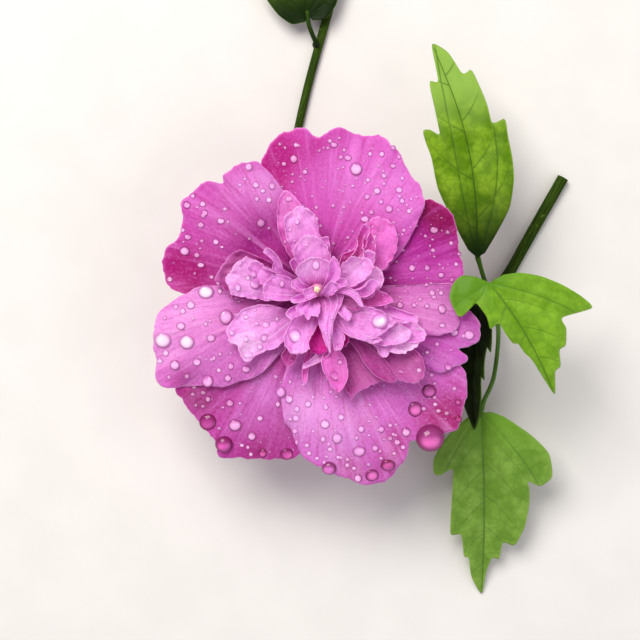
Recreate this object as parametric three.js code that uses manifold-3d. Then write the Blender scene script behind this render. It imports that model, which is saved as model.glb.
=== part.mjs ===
// A cut flowering shoot of rose of sharon (Hibiscus syriacus), lying on its back: one wide-open double
// bloom that faces up, its calyx and stalk, the stem it grows from and five leaves.
// Millimetres, +Z up. The bloom's axis is the vertical line through x = 0, y = 0 until the whole shoot is
// moved, at the end, so that its origin is the middle of its footprint at the level it lies on.
// Bearings are degrees from +X towards +Y.

import * as THREE from "three";
import { mergeVertices } from "three/addons/utils/BufferGeometryUtils.js";
import Module from "manifold-3d";

const wasm = await Module();
wasm.setup();

// ---- Driving dimensions ----

const CLEARANCE = 0.3; // between neighbouring pieces
const PETAL_THICKNESS = 0.6;
const PETALOID_THICKNESS = 0.5;
const LEAF_THICKNESS = 0.6;

// The guard petals are layers of one shared funnel-shaped surface.
const THROAT_Z = 20.9; // height of that surface on the bloom's axis
const PETAL_RISE = 12; // from the throat to the open limbs
const RISE_RADIUS = 9; // how quickly the funnel opens
const LIMB_RADIUS = 40;
const RIM_LIFT = 4; // at LIMB_RADIUS the topmost petal cups up by this, the lowest droops by it
const LIFT_BEARING = 80;
const LEVEL_STEP = 1.5; // height of one layer over the next
const CLAW_RADIUS = 2.6; // where a petal starts, on the calyx
const CLAW_HALF_ANGLE = 9;
const LAYER_RADIUS = 5.5; // from here out the layers are fully apart

const COLUMN_RADIUS = 1.7;
const COLUMN_TOP_RADIUS = 1.2;
const COLUMN_TOP = 42.6;
const STYLE_TIP_RADIUS = 1.1;
const CALYX_BOTTOM = 8;
const SEPALS = 5;
const SEPAL_REACH = 6;
const BRACTLETS = 7;

const STEM_RADIUS = 1.5; // at the cut end
const TWIG_RADIUS = 1.1; // behind the bloom
const SHOOT_END_RADIUS = 1.25;
const NODE_RADIUS = 1.9; // swelling where the leaves stand
const PEDICEL_RADIUS = 0.95;
const PETIOLE_RADIUS = 0.6;
const LEAF_NODE = [46.2, -3, NODE_RADIUS];
const FORK = [-14, -10, TWIG_RADIUS];

// ---- Plant matter ----

const rad = THREE.MathUtils.degToRad;

function matter(colour, roughness) {
  return () => new THREE.MeshStandardMaterial({ color: colour, roughness, metalness: 0 });
}
const petalMatter = matter("#d878cc", 0.55);
const petaloidMatter = matter("#eb9be2", 0.55);
const leafMatter = matter("#71982c", 0.5);
const stemMatter = matter("#4d6519", 0.6);
const styleMatter = matter("#fbf0c8", 0.5);
const waterMatter = matter("#f7eef7", 0.05);

const shoot = new THREE.Group();

function addPiece(name, geometry, material) {
  const mesh = new THREE.Mesh(geometry, material());
  mesh.name = name;
  shoot.add(mesh);
  return mesh;
}

// ---- Shape helpers ----

function smooth(value, from, to) {
  return THREE.MathUtils.smoothstep(value, from, to);
}

function polar(radius, bearing, z = 0) {
  return new THREE.Vector3(radius * Math.cos(rad(bearing)), radius * Math.sin(rad(bearing)), z);
}

function geometryOf(points, triangles) {
  const geometry = new THREE.BufferGeometry().setFromPoints(points);
  geometry.setIndex(triangles.flat());
  return geometry;
}

// Turns the faces of a closed geometry outwards.
function facingOut(geometry) {
  const p = geometry.attributes.position;
  const index = geometry.index.array;
  const [a, b, c] = [new THREE.Vector3(), new THREE.Vector3(), new THREE.Vector3()];
  let volume = 0;
  for (let i = 0; i < index.length; i += 3) {
    a.fromBufferAttribute(p, index[i]);
    b.fromBufferAttribute(p, index[i + 1]);
    c.fromBufferAttribute(p, index[i + 2]);
    volume += a.dot(b.cross(c));
  }
  if (volume < 0) index.reverse();
  return geometry;
}

function gridNormals(rows) {
  const last = rows.length - 1;
  return rows.map((row, i) => {
    return row.map((_, j) => {
      const along = rows[Math.min(i + 1, last)][j].clone().sub(rows[Math.max(i - 1, 0)][j]);
      const across = row[Math.min(j + 1, row.length - 1)].clone().sub(row[Math.max(j - 1, 0)]);
      return along.cross(across).normalize();
    });
  });
}

// A sheet of even thickness about a grid of points: rows run outwards, columns across.
function sheet(rows, thickness, normals = gridNormals(rows)) {
  const last = rows.length - 1;
  const columns = rows[0].length;
  const points = [];
  for (const side of [0.5, -0.5]) {
    rows.forEach((row, i) => {
      row.forEach((point, j) => {
        points.push(normals[i][j].clone().multiplyScalar(side * thickness).add(point));
      });
    });
  }
  const at = (i, j, under) => (under ? rows.length * columns : 0) + i * columns + j;
  const triangles = [];
  for (let i = 0; i < last; i++) {
    for (let j = 0; j < columns - 1; j++) {
      for (const under of [false, true]) {
        const corner = [at(i, j, under), at(i + 1, j, under), at(i + 1, j + 1, under), at(i, j + 1, under)];
        if (under) corner.reverse();
        triangles.push([corner[0], corner[1], corner[2]], [corner[0], corner[2], corner[3]]);
      }
    }
  }
  const edge = [];
  for (let j = 0; j < columns - 1; j++) edge.push([0, j]);
  for (let i = 0; i < last; i++) edge.push([i, columns - 1]);
  for (let j = columns - 1; j > 0; j--) edge.push([last, j]);
  for (let i = last; i > 0; i--) edge.push([i, 0]);
  edge.forEach(([i, j], k) => {
    const [m, n] = edge[(k + 1) % edge.length];
    triangles.push([at(i, j, false), at(m, n, false), at(m, n, true)]);
    triangles.push([at(i, j, false), at(m, n, true), at(i, j, true)]);
  });
  return facingOut(geometryOf(points, triangles));
}

// A solid from rings of points, closed by a fan at each end.
function ringed(rings, firstCentre, lastCentre) {
  const sides = rings[0].length;
  const points = [...rings.flat(), firstCentre, lastCentre];
  const first = points.length - 2;
  const triangles = [];
  rings.forEach((ring, i) => {
    for (let k = 0; k < sides; k++) {
      const next = (k + 1) % sides;
      if (i === 0) triangles.push([first, next, k]);
      if (i === rings.length - 1) triangles.push([first + 1, i * sides + k, i * sides + next]);
      if (i === rings.length - 1) continue;
      triangles.push([i * sides + k, i * sides + next, (i + 1) * sides + next]);
      triangles.push([i * sides + k, (i + 1) * sides + next, (i + 1) * sides + k]);
    }
  });
  return facingOut(geometryOf(points, triangles));
}

// A limb along a smooth curve: radii are evenly spaced values along it, the ends are flat cuts.
function limb(route, radii, { sides = 10, steps = 16 } = {}) {
  const curve = new THREE.CatmullRomCurve3(route.map((p) => new THREE.Vector3(...p)));
  const frames = curve.computeFrenetFrames(steps);
  const rings = [];
  for (let i = 0; i <= steps; i++) {
    const place = (i / steps) * (radii.length - 1);
    const low = Math.min(Math.floor(place), radii.length - 2);
    const radius = THREE.MathUtils.lerp(radii[low], radii[low + 1], smooth(place - low, 0, 1));
    const centre = curve.getPointAt(i / steps);
    const ring = [];
    for (let k = 0; k < sides; k++) {
      const turn = (2 * Math.PI * k) / sides;
      const arm = frames.normals[i].clone().multiplyScalar(Math.cos(turn) * radius);
      arm.addScaledVector(frames.binormals[i], Math.sin(turn) * radius);
      ring.push(arm.add(centre));
    }
    rings.push(ring);
  }
  return ringed(rings, curve.getPointAt(0), curve.getPointAt(1));
}

// A body of revolution about the vertical axis, from [radius, height] pairs.
function turned(profile, sides = 20) {
  const outline = profile.map(([radius, z]) => new THREE.Vector2(radius, z));
  return new THREE.LatheGeometry(outline, sides).rotateX(Math.PI / 2);
}

function solidOf(geometry) {
  const bare = geometry.clone();
  for (const name of Object.keys(bare.attributes)) {
    if (name !== "position") bare.deleteAttribute(name);
  }
  const merged = mergeVertices(bare, 1e-4);
  const triVerts = new Uint32Array(merged.index.array);
  const vertProperties = merged.attributes.position.array;
  return new wasm.Manifold(new wasm.Mesh({ numProp: 3, vertProperties, triVerts }));
}

function fused(geometries) {
  const mesh = geometries.map(solidOf).reduce((whole, part) => whole.add(part)).getMesh();
  const geometry = new THREE.BufferGeometry();
  geometry.setAttribute("position", new THREE.BufferAttribute(mesh.vertProperties, 3));
  geometry.setIndex(new THREE.BufferAttribute(mesh.triVerts, 1));
  return geometry;
}

// ---- Guard petals ----

function petalZ(radius, bearing, level) {
  const rise = PETAL_RISE * (1 - Math.exp(-radius / RISE_RADIUS));
  const lift = RIM_LIFT * (radius / LIMB_RADIUS) ** 2 * Math.cos(rad(bearing - LIFT_BEARING));
  return THROAT_Z + rise + lift + level * LEVEL_STEP * smooth(radius, CLAW_RADIUS, LAYER_RADIUS);
}

// Each rim is [bearing, radius] pairs, in order of bearing. levels are the petal's layer at its first and
// last bearing, so that one side can lie over a neighbour and the other side under the next.
const GUARD_PETALS = {
  petal_top: {
    claw: 72,
    levels: [1.2, 0],
    rim: [
      [16, 18], [26, 24], [36, 32.3], [41, 35.3], [47, 36.6], [55, 38.2], [61, 40.1], [66, 41.2],
      [73, 40.1], [80, 40.6], [85, 39.9], [89.6, 37.5], [94, 40.1], [100, 40.3], [106, 38.9],
      [113, 34.8], [119, 28], [124, 18],
    ],
  },
  petal_upper_left: {
    claw: 135,
    levels: [1.3, 0],
    rim: [
      [104, 15], [107, 23.5], [114, 34.1], [120, 36.5], [129, 36.8], [131.6, 35.6], [136, 38.7],
      [143, 39.7], [148, 39.9], [154, 37.3], [160, 37.1], [165, 39.3], [173, 38.8], [179, 36.8],
      [183, 30], [186, 18],
    ],
  },
  petal_left: {
    claw: 187,
    levels: [1.2, 1.2],
    rim: [
      [176, 16], [178, 28], [181, 32], [184, 35.6], [187.5, 39.6], [194, 41.7], [200, 43.2],
      [204.5, 44.2], [207.5, 46.2], [211.5, 46.3], [214.5, 43.4], [218, 38.9], [224, 35], [230, 30.2],
      [236, 25], [241, 17],
    ],
  },
  petal_lower_left: {
    claw: 238,
    levels: [0, 0],
    rim: [
      [203, 20], [208, 35], [214, 43], [219, 43.9], [227, 44.6], [232, 45.2], [236.5, 46.4], [239.5, 48.8],
      [245.5, 46.7], [254.5, 44.3], [261, 43], [265, 40.5], [269, 33], [272, 20],
    ],
  },
  petal_bottom: {
    claw: 288,
    levels: [1.35, 0],
    rim: [
      [247, 15], [249.5, 25], [252, 29], [256, 33.5], [261.5, 38], [265, 42], [272, 45], [278.5, 48],
      [284, 50.7], [289, 51.6], [293, 50.2], [297.5, 47.9], [301.5, 45.3], [306, 46.5], [311.5, 48.3],
      [315.5, 50], [320, 47.8], [325, 45.8], [331.5, 42], [334.5, 33], [336, 18],
    ],
  },
  petal_lower_right: {
    claw: 323,
    levels: [1.3, 0.4],
    rim: [
      [317.5, 16], [321, 27], [324.5, 34], [327, 37.7], [330, 39.2], [333, 41], [336, 41.6], [337.4, 38.6],
      [339.5, 40.6], [342, 42], [345.5, 42.4], [350, 40.6], [353, 37], [353.5, 28], [352.5, 16],
    ],
  },
  petal_right: {
    claw: 353,
    levels: [2, 1.2],
    rim: [
      [334.5, 16], [335.5, 24], [338.5, 31], [341, 33.6], [344, 35.7], [348, 36], [352, 34.9], [355, 33.4],
      [358, 32.9], [362.5, 33.3], [362.7, 27], [363.1, 20], [365, 12],
    ],
  },
  petal_upper_right: {
    claw: 384,
    levels: [0, 0],
    rim: [
      [358, 14], [358.5, 26], [359.5, 34], [364, 36.4], [370, 37], [375, 36.8], [380, 37.4], [386, 38.4],
      [391, 38.4], [396, 37], [400, 34.6], [405, 27], [409, 16],
    ],
  },
};

function petalPoint(radius, bearing, level) {
  return polar(radius, bearing, petalZ(radius, bearing, level));
}

function petalNormal(radius, bearing, level) {
  const here = petalPoint(radius, bearing, level);
  const outward = petalPoint(radius + 0.1, bearing, level).sub(here);
  const around = petalPoint(radius, bearing + 1, level).sub(here);
  return outward.cross(around).normalize();
}

function layerAt({ levels, rim }, bearing) {
  const share = (bearing - rim[0][0]) / (rim[rim.length - 1][0] - rim[0][0]);
  return THREE.MathUtils.lerp(levels[0], levels[1], share);
}

const PETAL_ROWS = 7;

// Columns run straight, seen from above, from evenly spaced points on the claw to the points of the rim.
function guardPetal(petal) {
  const rows = [];
  const normals = [];
  for (let i = 0; i <= PETAL_ROWS; i++) {
    const out = (i / PETAL_ROWS) ** 1.35;
    const places = petal.rim.map(([rimBearing, rimRadius], j) => {
      const side = (2 * j) / (petal.rim.length - 1) - 1;
      const start = polar(CLAW_RADIUS, petal.claw + side * CLAW_HALF_ANGLE);
      const flat = start.lerp(polar(rimRadius, rimBearing), out);
      const bearing = THREE.MathUtils.radToDeg(Math.atan2(flat.y, flat.x));
      return [flat.length(), bearing, layerAt(petal, rimBearing)];
    });
    rows.push(places.map((place) => petalPoint(...place)));
    normals.push(places.map((place) => petalNormal(...place)));
  }
  return sheet(rows, PETAL_THICKNESS, normals);
}

for (const [name, petal] of Object.entries(GUARD_PETALS)) {
  addPiece(name, guardPetal(petal), petalMatter);
}

// ---- Petaloids: the frilled stamens of a double bloom, seated on the column ----

// bearing and seat: where it leaves the column. tip: its end. half: half its width. shoulder: how far out
// it is widest, as a share of its length. arch: how far it bows up on the way. cup: how far its sides rise.
// roll: how far it turns about its own length by the tip.
const PETALOIDS = {
  petaloid_crown_back: { bearing: 112, seat: 28, tip: [-7.6, 24.6, 36.4], half: 3.4, shoulder: 0.72 },
  petaloid_crown_middle: { bearing: 100, seat: 30.6, tip: [-4.6, 21, 39], half: 4.7, shoulder: 0.74 },
  petaloid_crown_front: { bearing: 92, seat: 33.6, tip: [-1.2, 13.6, 42], half: 4.5, shoulder: 0.66 },
  petaloid_spoon: { bearing: 97, seat: 37.4, tip: [-0.6, 8.2, 45.6], half: 3.9, shoulder: 0.6, cup: 1.2 },
  petaloid_curl: { bearing: 146, seat: 32, tip: [-12.6, 10, 41], half: 1.5, shoulder: 0.8, roll: 60 },
  petaloid_left_outer: { bearing: 168, seat: 29.6, tip: [-22.8, 3.4, 37.4], half: 5.2, shoulder: 0.7 },
  petaloid_left_inner: { bearing: 176, seat: 34, tip: [-13.4, 0.7, 41.6], half: 3, shoulder: 0.7 },
  petaloid_lower_left: { bearing: 212, seat: 30.4, tip: [-21, -13.4, 36.6], half: 6.2, shoulder: 0.66 },
  petaloid_low_centre: { bearing: 246, seat: 34.4, tip: [-4.9, -16, 41.4], half: 4.3, shoulder: 0.62 },
  petaloid_frill: { bearing: 240, seat: 38, tip: [-3.6, -5.8, 44], half: 2, shoulder: 0.7 },
  petaloid_hook: { bearing: 266, seat: 31, tip: [-3, -19, 38], half: 1.8, shoulder: 0.6 },
  petaloid_keel: {
    bearing: 300, seat: 38.4, tip: [3.2, -15.3, 44], half: 2.5, shoulder: 0.35, arch: 2, cup: -1.2,
  },
  petaloid_arch: { bearing: 345, seat: 38.6, tip: [11.2, -4, 43.6], half: 1.7, shoulder: 0.6, arch: 2 },
  petaloid_right_1: { bearing: 338, seat: 34.6, tip: [20.2, -8, 42.2], half: 3.9, shoulder: 0.6 },
  petaloid_right_2: { bearing: 334, seat: 32.2, tip: [23.2, -11, 40], half: 3.2, shoulder: 0.74 },
  petaloid_right_3: { bearing: 334, seat: 30.1, tip: [26.4, -13, 38.6], half: 3.6, shoulder: 0.78 },
  petaloid_right_4: { bearing: 359, seat: 29, tip: [25, -5.8, 37], half: 2, shoulder: 0.7 },
  petaloid_coral: { bearing: 52, seat: 29, tip: [14.6, 17.4, 37.8], half: 4.4, shoulder: 0.6, cup: 1 },
  petaloid_tuft_1: { bearing: 44, seat: 34, tip: [10.4, 9.4, 41.8], half: 3, shoulder: 0.66, roll: -30 },
  petaloid_tuft_2: { bearing: 18, seat: 31.2, tip: [16, 5, 39.6], half: 3.2, shoulder: 0.66, roll: 25 },
  petaloid_dusty_1: { bearing: 299, seat: 29.7, tip: [18, -23.4, 37.4], half: 2.5, shoulder: 0.6 },
  petaloid_dusty_2: { bearing: 318, seat: 28.3, tip: [24.8, -22.6, 36.8], half: 4.6, shoulder: 0.72 },
  petaloid_low_fold: { bearing: 278, seat: 27.4, tip: [8.3, -26.8, 35.2], half: 4.4, shoulder: 0.7 },
  petaloid_low_spoon: {
    bearing: 286, seat: 32.8, tip: [5.8, -25.2, 38.4], half: 3.1, shoulder: 0.62, cup: 0.8,
  },
};

const PETALOID_ROWS = 6;
const PETALOID_COLUMNS = 4;
const PETALOID_FOOT = 0.7; // half width at the column
const FLARE = 1.5; // above 1 a petaloid stays narrow for longer before it widens

function petaloid({ bearing, seat, tip, half, shoulder, arch = 0, cup = 0.3, roll = 0 }) {
  const foot = polar(COLUMN_RADIUS + CLEARANCE + PETALOID_THICKNESS / 4, bearing, seat);
  const end = new THREE.Vector3(...tip);
  const elbow = foot.clone().lerp(end, 0.45);
  elbow.z = THREE.MathUtils.lerp(seat, end.z, 0.8) + arch;
  const spine = new THREE.QuadraticBezierCurve3(foot, elbow, end);
  const rows = [];
  for (let i = 0; i <= PETALOID_ROWS; i++) {
    const out = i / PETALOID_ROWS;
    const row = [];
    for (let j = 0; j <= PETALOID_COLUMNS; j++) {
      const across = (2 * j) / PETALOID_COLUMNS - 1;
      const fan = (across * Math.PI) / 2;
      const along = out * (shoulder + (1 - shoulder) * Math.cos(fan));
      const aside = across * PETALOID_FOOT * (1 - out) + half * Math.sin(fan) * out ** FLARE;
      const tangent = spine.getTangent(along);
      const side = new THREE.Vector3(-tangent.y, tangent.x, 0).normalize();
      side.applyAxisAngle(tangent, rad(roll) * out);
      const up = tangent.clone().cross(side);
      const point = spine.getPoint(along).addScaledVector(side, aside);
      row.push(point.addScaledVector(up, cup * across ** 2 * out));
    }
    rows.push(row);
  }
  return sheet(rows, PETALOID_THICKNESS);
}

for (const [name, shape] of Object.entries(PETALOIDS)) {
  addPiece(name, petaloid(shape), petaloidMatter);
}

// ---- Calyx, epicalyx, column and style ----

const CALYX_SIDES = 30;

// Height of the calyx's upper face: clear of the undersides of the lowest layer of petals.
function underPetals(radius, bearing) {
  return petalZ(radius, bearing, 0) - PETAL_THICKNESS - CLEARANCE;
}

function calyx() {
  const wall = [[2.4, CALYX_BOTTOM], [4.4, 10.6], [5.7, 15.5], [6, 20.5]];
  const rings = wall.map(([radius, z]) => {
    return Array.from({ length: CALYX_SIDES }, (_, k) => polar(radius, (360 * k) / CALYX_SIDES, z));
  });
  for (const [start, reach, drop] of [[6.4, 1, 1], [6.4, 1, 0], [5.2, 0, 0], [CLAW_RADIUS, 0, 0]]) {
    rings.push(
      Array.from({ length: CALYX_SIDES }, (_, k) => {
        const bearing = (360 * k) / CALYX_SIDES;
        const lobe = ((1 + Math.cos(rad(SEPALS * bearing))) / 2) ** 0.8;
        const radius = start + reach * SEPAL_REACH * lobe;
        return polar(radius, bearing, underPetals(radius, bearing) - drop);
      }),
    );
  }
  const top = underPetals(CLAW_RADIUS, 0);
  return ringed(rings, polar(0, 0, CALYX_BOTTOM), polar(0, 0, top));
}

// Distance from the axis, height and half width along one bractlet.
const BRACTLET_RIBS = [[4, 8.4, 0.7], [5.8, 10.4, 1], [7.4, 13.6, 0.9], [8.6, 17.4, 0.25]];

// A collar round the foot of the calyx with narrow bractlets that stand off its wall.
function epicalyx() {
  const collar = [[2.9, 7.2], [4.2, 7.6], [4.6, 8.6], [4.2, 9.2], [3.2, 8.2], [2.9, 7.2]];
  const pieces = [turned(collar, 28)];
  for (let k = 0; k < BRACTLETS; k++) {
    const bearing = (360 * (k + 0.5)) / BRACTLETS;
    const aside = polar(1, bearing + 90);
    const rows = BRACTLET_RIBS.map(([radius, z, half]) => {
      return [-1, 0, 1].map((side) => polar(radius, bearing, z).addScaledVector(aside, side * half));
    });
    pieces.push(sheet(rows, 0.5));
  }
  return fused(pieces);
}

addPiece("calyx", calyx(), stemMatter);
addPiece("epicalyx", epicalyx(), stemMatter);

const COLUMN_FOOT = underPetals(CLAW_RADIUS, LIFT_BEARING) + CLEARANCE;
const columnProfile = [
  [0, COLUMN_FOOT],
  [COLUMN_RADIUS, COLUMN_FOOT],
  [COLUMN_RADIUS, 38.8],
  [COLUMN_TOP_RADIUS, 40.5],
  [COLUMN_TOP_RADIUS * 0.8, COLUMN_TOP],
  [0, COLUMN_TOP],
];
addPiece("staminal_column", turned(columnProfile, 14), styleMatter);

const styleTip = new THREE.SphereGeometry(STYLE_TIP_RADIUS, 12, 8);
const styleMesh = addPiece("style_tip", styleTip, styleMatter);
styleMesh.position.set(0, 0, COLUMN_TOP + CLEARANCE + STYLE_TIP_RADIUS);

// ---- Stems ----

const [nodeX, nodeY] = LEAF_NODE;
const [forkX, forkY] = FORK;
const CUT_END = [65.9, 30.6, STEM_RADIUS];
const STEM_GAP = NODE_RADIUS + CLEARANCE;

const lowerRoute = [CUT_END, [57.7, 16.2, STEM_RADIUS], [51.4, 5, 1.7], LEAF_NODE];
addPiece("stem_lower", limb(lowerRoute, [STEM_RADIUS, STEM_RADIUS, 1.45, NODE_RADIUS]), stemMatter);

const middleRoute = [
  [nodeX - STEM_GAP, nodeY - 0.9, 1.6],
  [30, -8.6, 1.5],
  [8, -11, TWIG_RADIUS + 0.1],
  FORK,
];
addPiece("stem_middle", limb(middleRoute, [1.4, 1.35, TWIG_RADIUS, TWIG_RADIUS]), stemMatter);

const upperRoute = [
  [forkX + 0.3, forkY + TWIG_RADIUS + CLEARANCE + 0.1, 1],
  [-10.8, 12, 1],
  [-7.8, 31, 1.05],
  [-2.7, 54.5, 1.15],
  [3.2, 76, 1.25],
  [6.2, 88, SHOOT_END_RADIUS],
];
addPiece("stem_upper", limb(upperRoute, [0.95, 1, 1.1, SHOOT_END_RADIUS], { steps: 20 }), stemMatter);

const pedicelRoute = [
  [forkX + 2.6, forkY, 2 * TWIG_RADIUS + CLEARANCE + 0.15],
  [forkX + 2.9, forkY + 0.2, 3.8],
  [-7, -6.2, 4.8],
  [-1.2, -1.2, 4.7],
  [0, 0, 6],
  [0, 0, CALYX_BOTTOM - CLEARANCE],
];
addPiece("pedicel", limb(pedicelRoute, [PEDICEL_RADIUS, PEDICEL_RADIUS, 1.2]), stemMatter);

// ---- Leaves ----

// Half of a plain lobed and toothed blade, from its base to its tip: degrees off the midrib, and distance
// from the base as a share of the blade's length.
const HALF_BLADE = [
  [150, 0.08], [112, 0.18], [82, 0.28], [60, 0.42], [51, 0.52], [44, 0.4], [31, 0.5], [25, 0.62],
  [20, 0.58], [13, 0.78], [6, 0.9],
];

function lobedRim(length, axis) {
  const side = HALF_BLADE.map(([off, share]) => [axis - off, share * length]);
  const otherSide = HALF_BLADE.map(([off, share]) => [axis + off, share * length]).reverse();
  return [...side, [axis, length], ...otherSide];
}

// base: where the blade meets its petiole. petiole: the way there from the stem. axis: bearing of the
// midrib. rim: [bearing, radius] pairs about the base. slope and droop: how the midrib climbs and bows
// down. fold: how the two halves rise from it.
// roll: how far the blade is turned about its midrib.
const LEAVES = {
  leaf_upright: {
    base: [41, 8.4, 24],
    petiole: [[nodeX, nodeY + 1.8, 4], [nodeX - 0.6, nodeY + 3.6, 12], [43.6, 4.6, 19]],
    axis: 101.8,
    slope: 0.15,
    droop: 0.0035,
    fold: 0.16,
    rim: [
      [35, 2.2], [53, 7.7], [58, 15], [65.5, 21.6], [71, 26.5], [76.5, 32], [79.3, 35.9], [84, 34.3],
      [86.6, 38.9], [88.6, 42.4], [91.8, 48.1], [94.6, 47.2], [98, 53.2], [101.8, 56.2], [102.5, 46.3],
      [105.2, 46.7], [106.2, 39], [107.4, 32.8], [110.7, 34.7], [113.6, 35.2], [114.6, 32.4],
      [115.4, 27.9], [120.5, 20.5], [123.5, 13], [129, 7.5], [141, 3.3],
    ],
  },
  leaf_right: {
    base: [42.8, 1.7, 37.2],
    petiole: [[nodeX - 0.4, nodeY - 0.3, 4.2], [nodeX + 0.4, nodeY + 0.8, 16], [45.2, 2.4, 30]],
    axis: 301,
    slope: 0.04,
    droop: 0.006,
    fold: 0.02,
    rim: [
      [156, 3.6], [166, 7.2], [183, 9.2], [199, 10.5], [209, 10.8], [226, 11.4], [231, 10.4],
      [234.5, 6.2], [245, 6.3], [265, 8.5], [271.2, 11.5], [282.5, 10.2], [287.5, 13.1], [291.5, 16.1],
      [295.5, 16.7], [297.4, 19.9], [299.4, 22.1], [301, 32.5], [307, 27.7], [311, 27.4],
      [316.5, 24.2], [321, 24.6], [329.5, 22.2], [334.5, 20], [346.5, 26.4], [352, 22.9], [359, 17.7],
      [367.5, 12.8], [378, 8.1], [390, 4],
    ],
  },
  leaf_hanging: {
    base: [41.8, -31.4, 15],
    petiole: [[nodeX + 0.3, nodeY - 1.3, 4.1], [48, -10, 7], [46.5, -22, 11], [43.4, -29, 14.2]],
    axis: 271.9,
    restsOnTip: true,
    droop: 0.002,
    fold: 0.12,
    rim: [
      [195, 2.6], [210, 6.3], [217.5, 11.5], [225, 17], [233.5, 20.1], [238, 19.5], [244.5, 16.4],
      [249, 19.2], [253.8, 25.5], [257.5, 33.4], [262.4, 33], [265, 39], [266.8, 39.1], [268.4, 43.9],
      [271.9, 48.3], [273.5, 42.4], [276, 39.4], [278.5, 40], [281, 35.6], [285.6, 37], [292, 32.9],
      [298.5, 27.9], [303, 24.3], [305, 22.1], [309.5, 25.2], [318.5, 25.4], [329, 21], [335.5, 15],
      [350, 6.3], [362, 2.9],
    ],
  },
  leaf_shaded: {
    base: [41.6, -5.8, 20],
    petiole: [[nodeX - 1.7, nodeY - 0.7, 3.8], [43.8, -4.2, 9], [42.2, -4.8, 16]],
    axis: 270,
    slope: 0.12,
    droop: 0.002,
    fold: 0.1,
    roll: 70,
    rim: lobedRim(30, 270),
  },
  leaf_top: {
    base: [-2.5, 73.8, 5],
    petiole: [[-0.2, 66.4, 2.9], [-1.4, 69, 3.5], [-2.3, 71.5, 4.4]],
    axis: 100,
    slope: 0.1,
    droop: 0.003,
    fold: 0.05,
    rim: lobedRim(28, 100),
  },
};

const LEAF_ROWS = 4;

function leafBlade({ base, axis, rim, slope = 0, droop, fold, roll = 0, restsOnTip = false }) {
  const length = Math.max(...rim.map(([, radius]) => radius));
  const climb = restsOnTip ? (LEAF_THICKNESS / 2 - base[2]) / length + droop * length : slope;
  const rows = [];
  for (let i = 0; i <= LEAF_ROWS; i++) {
    const out = THREE.MathUtils.lerp(0.06, 1, i / LEAF_ROWS);
    rows.push(
      rim.map(([bearing, rimRadius]) => {
        const radius = out * rimRadius;
        const along = radius * Math.cos(rad(bearing - axis));
        const aside = Math.abs(radius * Math.sin(rad(bearing - axis)));
        const z = climb * along - droop * along ** 2 + fold * aside;
        const point = polar(radius, bearing, z).applyAxisAngle(polar(1, axis), rad(roll));
        return point.add(new THREE.Vector3(...base));
      }),
    );
  }
  return sheet(rows, LEAF_THICKNESS);
}

function petioleOf({ base, petiole, axis }) {
  const into = polar(1.6, axis).add(new THREE.Vector3(...base));
  return limb([...petiole, into.toArray()], [PETIOLE_RADIUS, PETIOLE_RADIUS], { sides: 8, steps: 10 });
}

for (const [name, leaf] of Object.entries(LEAVES)) {
  addPiece(name, fused([leafBlade(leaf), petioleOf(leaf)]), leafMatter);
}

// ---- The three heaviest water drops, on the rims of the lower petals ----

const WATER_DROPS = {
  water_drop_notch: { petal: "petal_bottom", bearing: 307, radius: 45.4, size: 3.3 },
  water_drop_left: { petal: "petal_lower_left", bearing: 238.8, radius: 45.3, size: 2.2 },
  water_drop_low: { petal: "petal_bottom", bearing: 273, radius: 44.6, size: 1.9 },
};
const DROP_HEIGHT = 0.8; // as a share of its radius
// A drop's side from its foot up, in shares of its radius and its height.
const DROP_OUTLINE = [[0, 0], [1, 0], [1, 0.3], [0.8, 0.72], [0.4, 0.95], [0, 1]];

for (const [name, { petal, bearing, radius, size }] of Object.entries(WATER_DROPS)) {
  const dome = DROP_OUTLINE.map(([out, up]) => [size * out, size * DROP_HEIGHT * up]);
  const drop = addPiece(name, turned(dome, 16), waterMatter);
  const place = [radius, bearing, layerAt(GUARD_PETALS[petal], bearing)];
  const normal = petalNormal(...place);
  drop.quaternion.setFromUnitVectors(new THREE.Vector3(0, 0, 1), normal);
  drop.position.copy(petalPoint(...place).addScaledVector(normal, PETAL_THICKNESS / 2 + CLEARANCE));
}

// ---- Origin: the middle of the footprint, at the level the shoot lies on ----

shoot.updateMatrixWorld(true);
const extent = new THREE.Box3().setFromObject(shoot, true);
const centre = extent.getCenter(new THREE.Vector3());
shoot.position.set(-centre.x, -centre.y, -extent.min.z);

export default shoot;
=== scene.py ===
"""A cut flowering shoot of rose of sharon, lying on its back with one wide-open, rain-wet double bloom.

Lengths are millimetres about the bloom's own upright axis until a piece is made: +X to the right and +Y
up as the bloom is seen, +Z towards the sky. Bearings are degrees from +X towards +Y.
"""

import sys

import logging
from dataclasses import dataclass, field
from enum import Enum
from functools import cache

import bpy
import numpy as np
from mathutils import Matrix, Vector, noise
from mathutils.bvhtree import BVHTree


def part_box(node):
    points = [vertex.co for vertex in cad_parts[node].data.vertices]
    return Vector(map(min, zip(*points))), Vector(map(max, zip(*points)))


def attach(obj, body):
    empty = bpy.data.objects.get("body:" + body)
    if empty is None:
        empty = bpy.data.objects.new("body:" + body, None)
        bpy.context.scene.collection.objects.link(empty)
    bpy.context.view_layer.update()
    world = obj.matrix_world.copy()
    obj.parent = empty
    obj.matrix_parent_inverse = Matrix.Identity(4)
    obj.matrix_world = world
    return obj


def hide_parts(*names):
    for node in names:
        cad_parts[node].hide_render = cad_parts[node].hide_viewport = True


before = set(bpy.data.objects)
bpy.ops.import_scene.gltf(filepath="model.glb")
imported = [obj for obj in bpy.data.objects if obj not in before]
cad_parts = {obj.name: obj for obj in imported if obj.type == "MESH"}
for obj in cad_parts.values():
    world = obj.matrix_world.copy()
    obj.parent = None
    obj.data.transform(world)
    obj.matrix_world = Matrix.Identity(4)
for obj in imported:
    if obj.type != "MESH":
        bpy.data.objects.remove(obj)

log = logging.getLogger("shoot")

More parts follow.
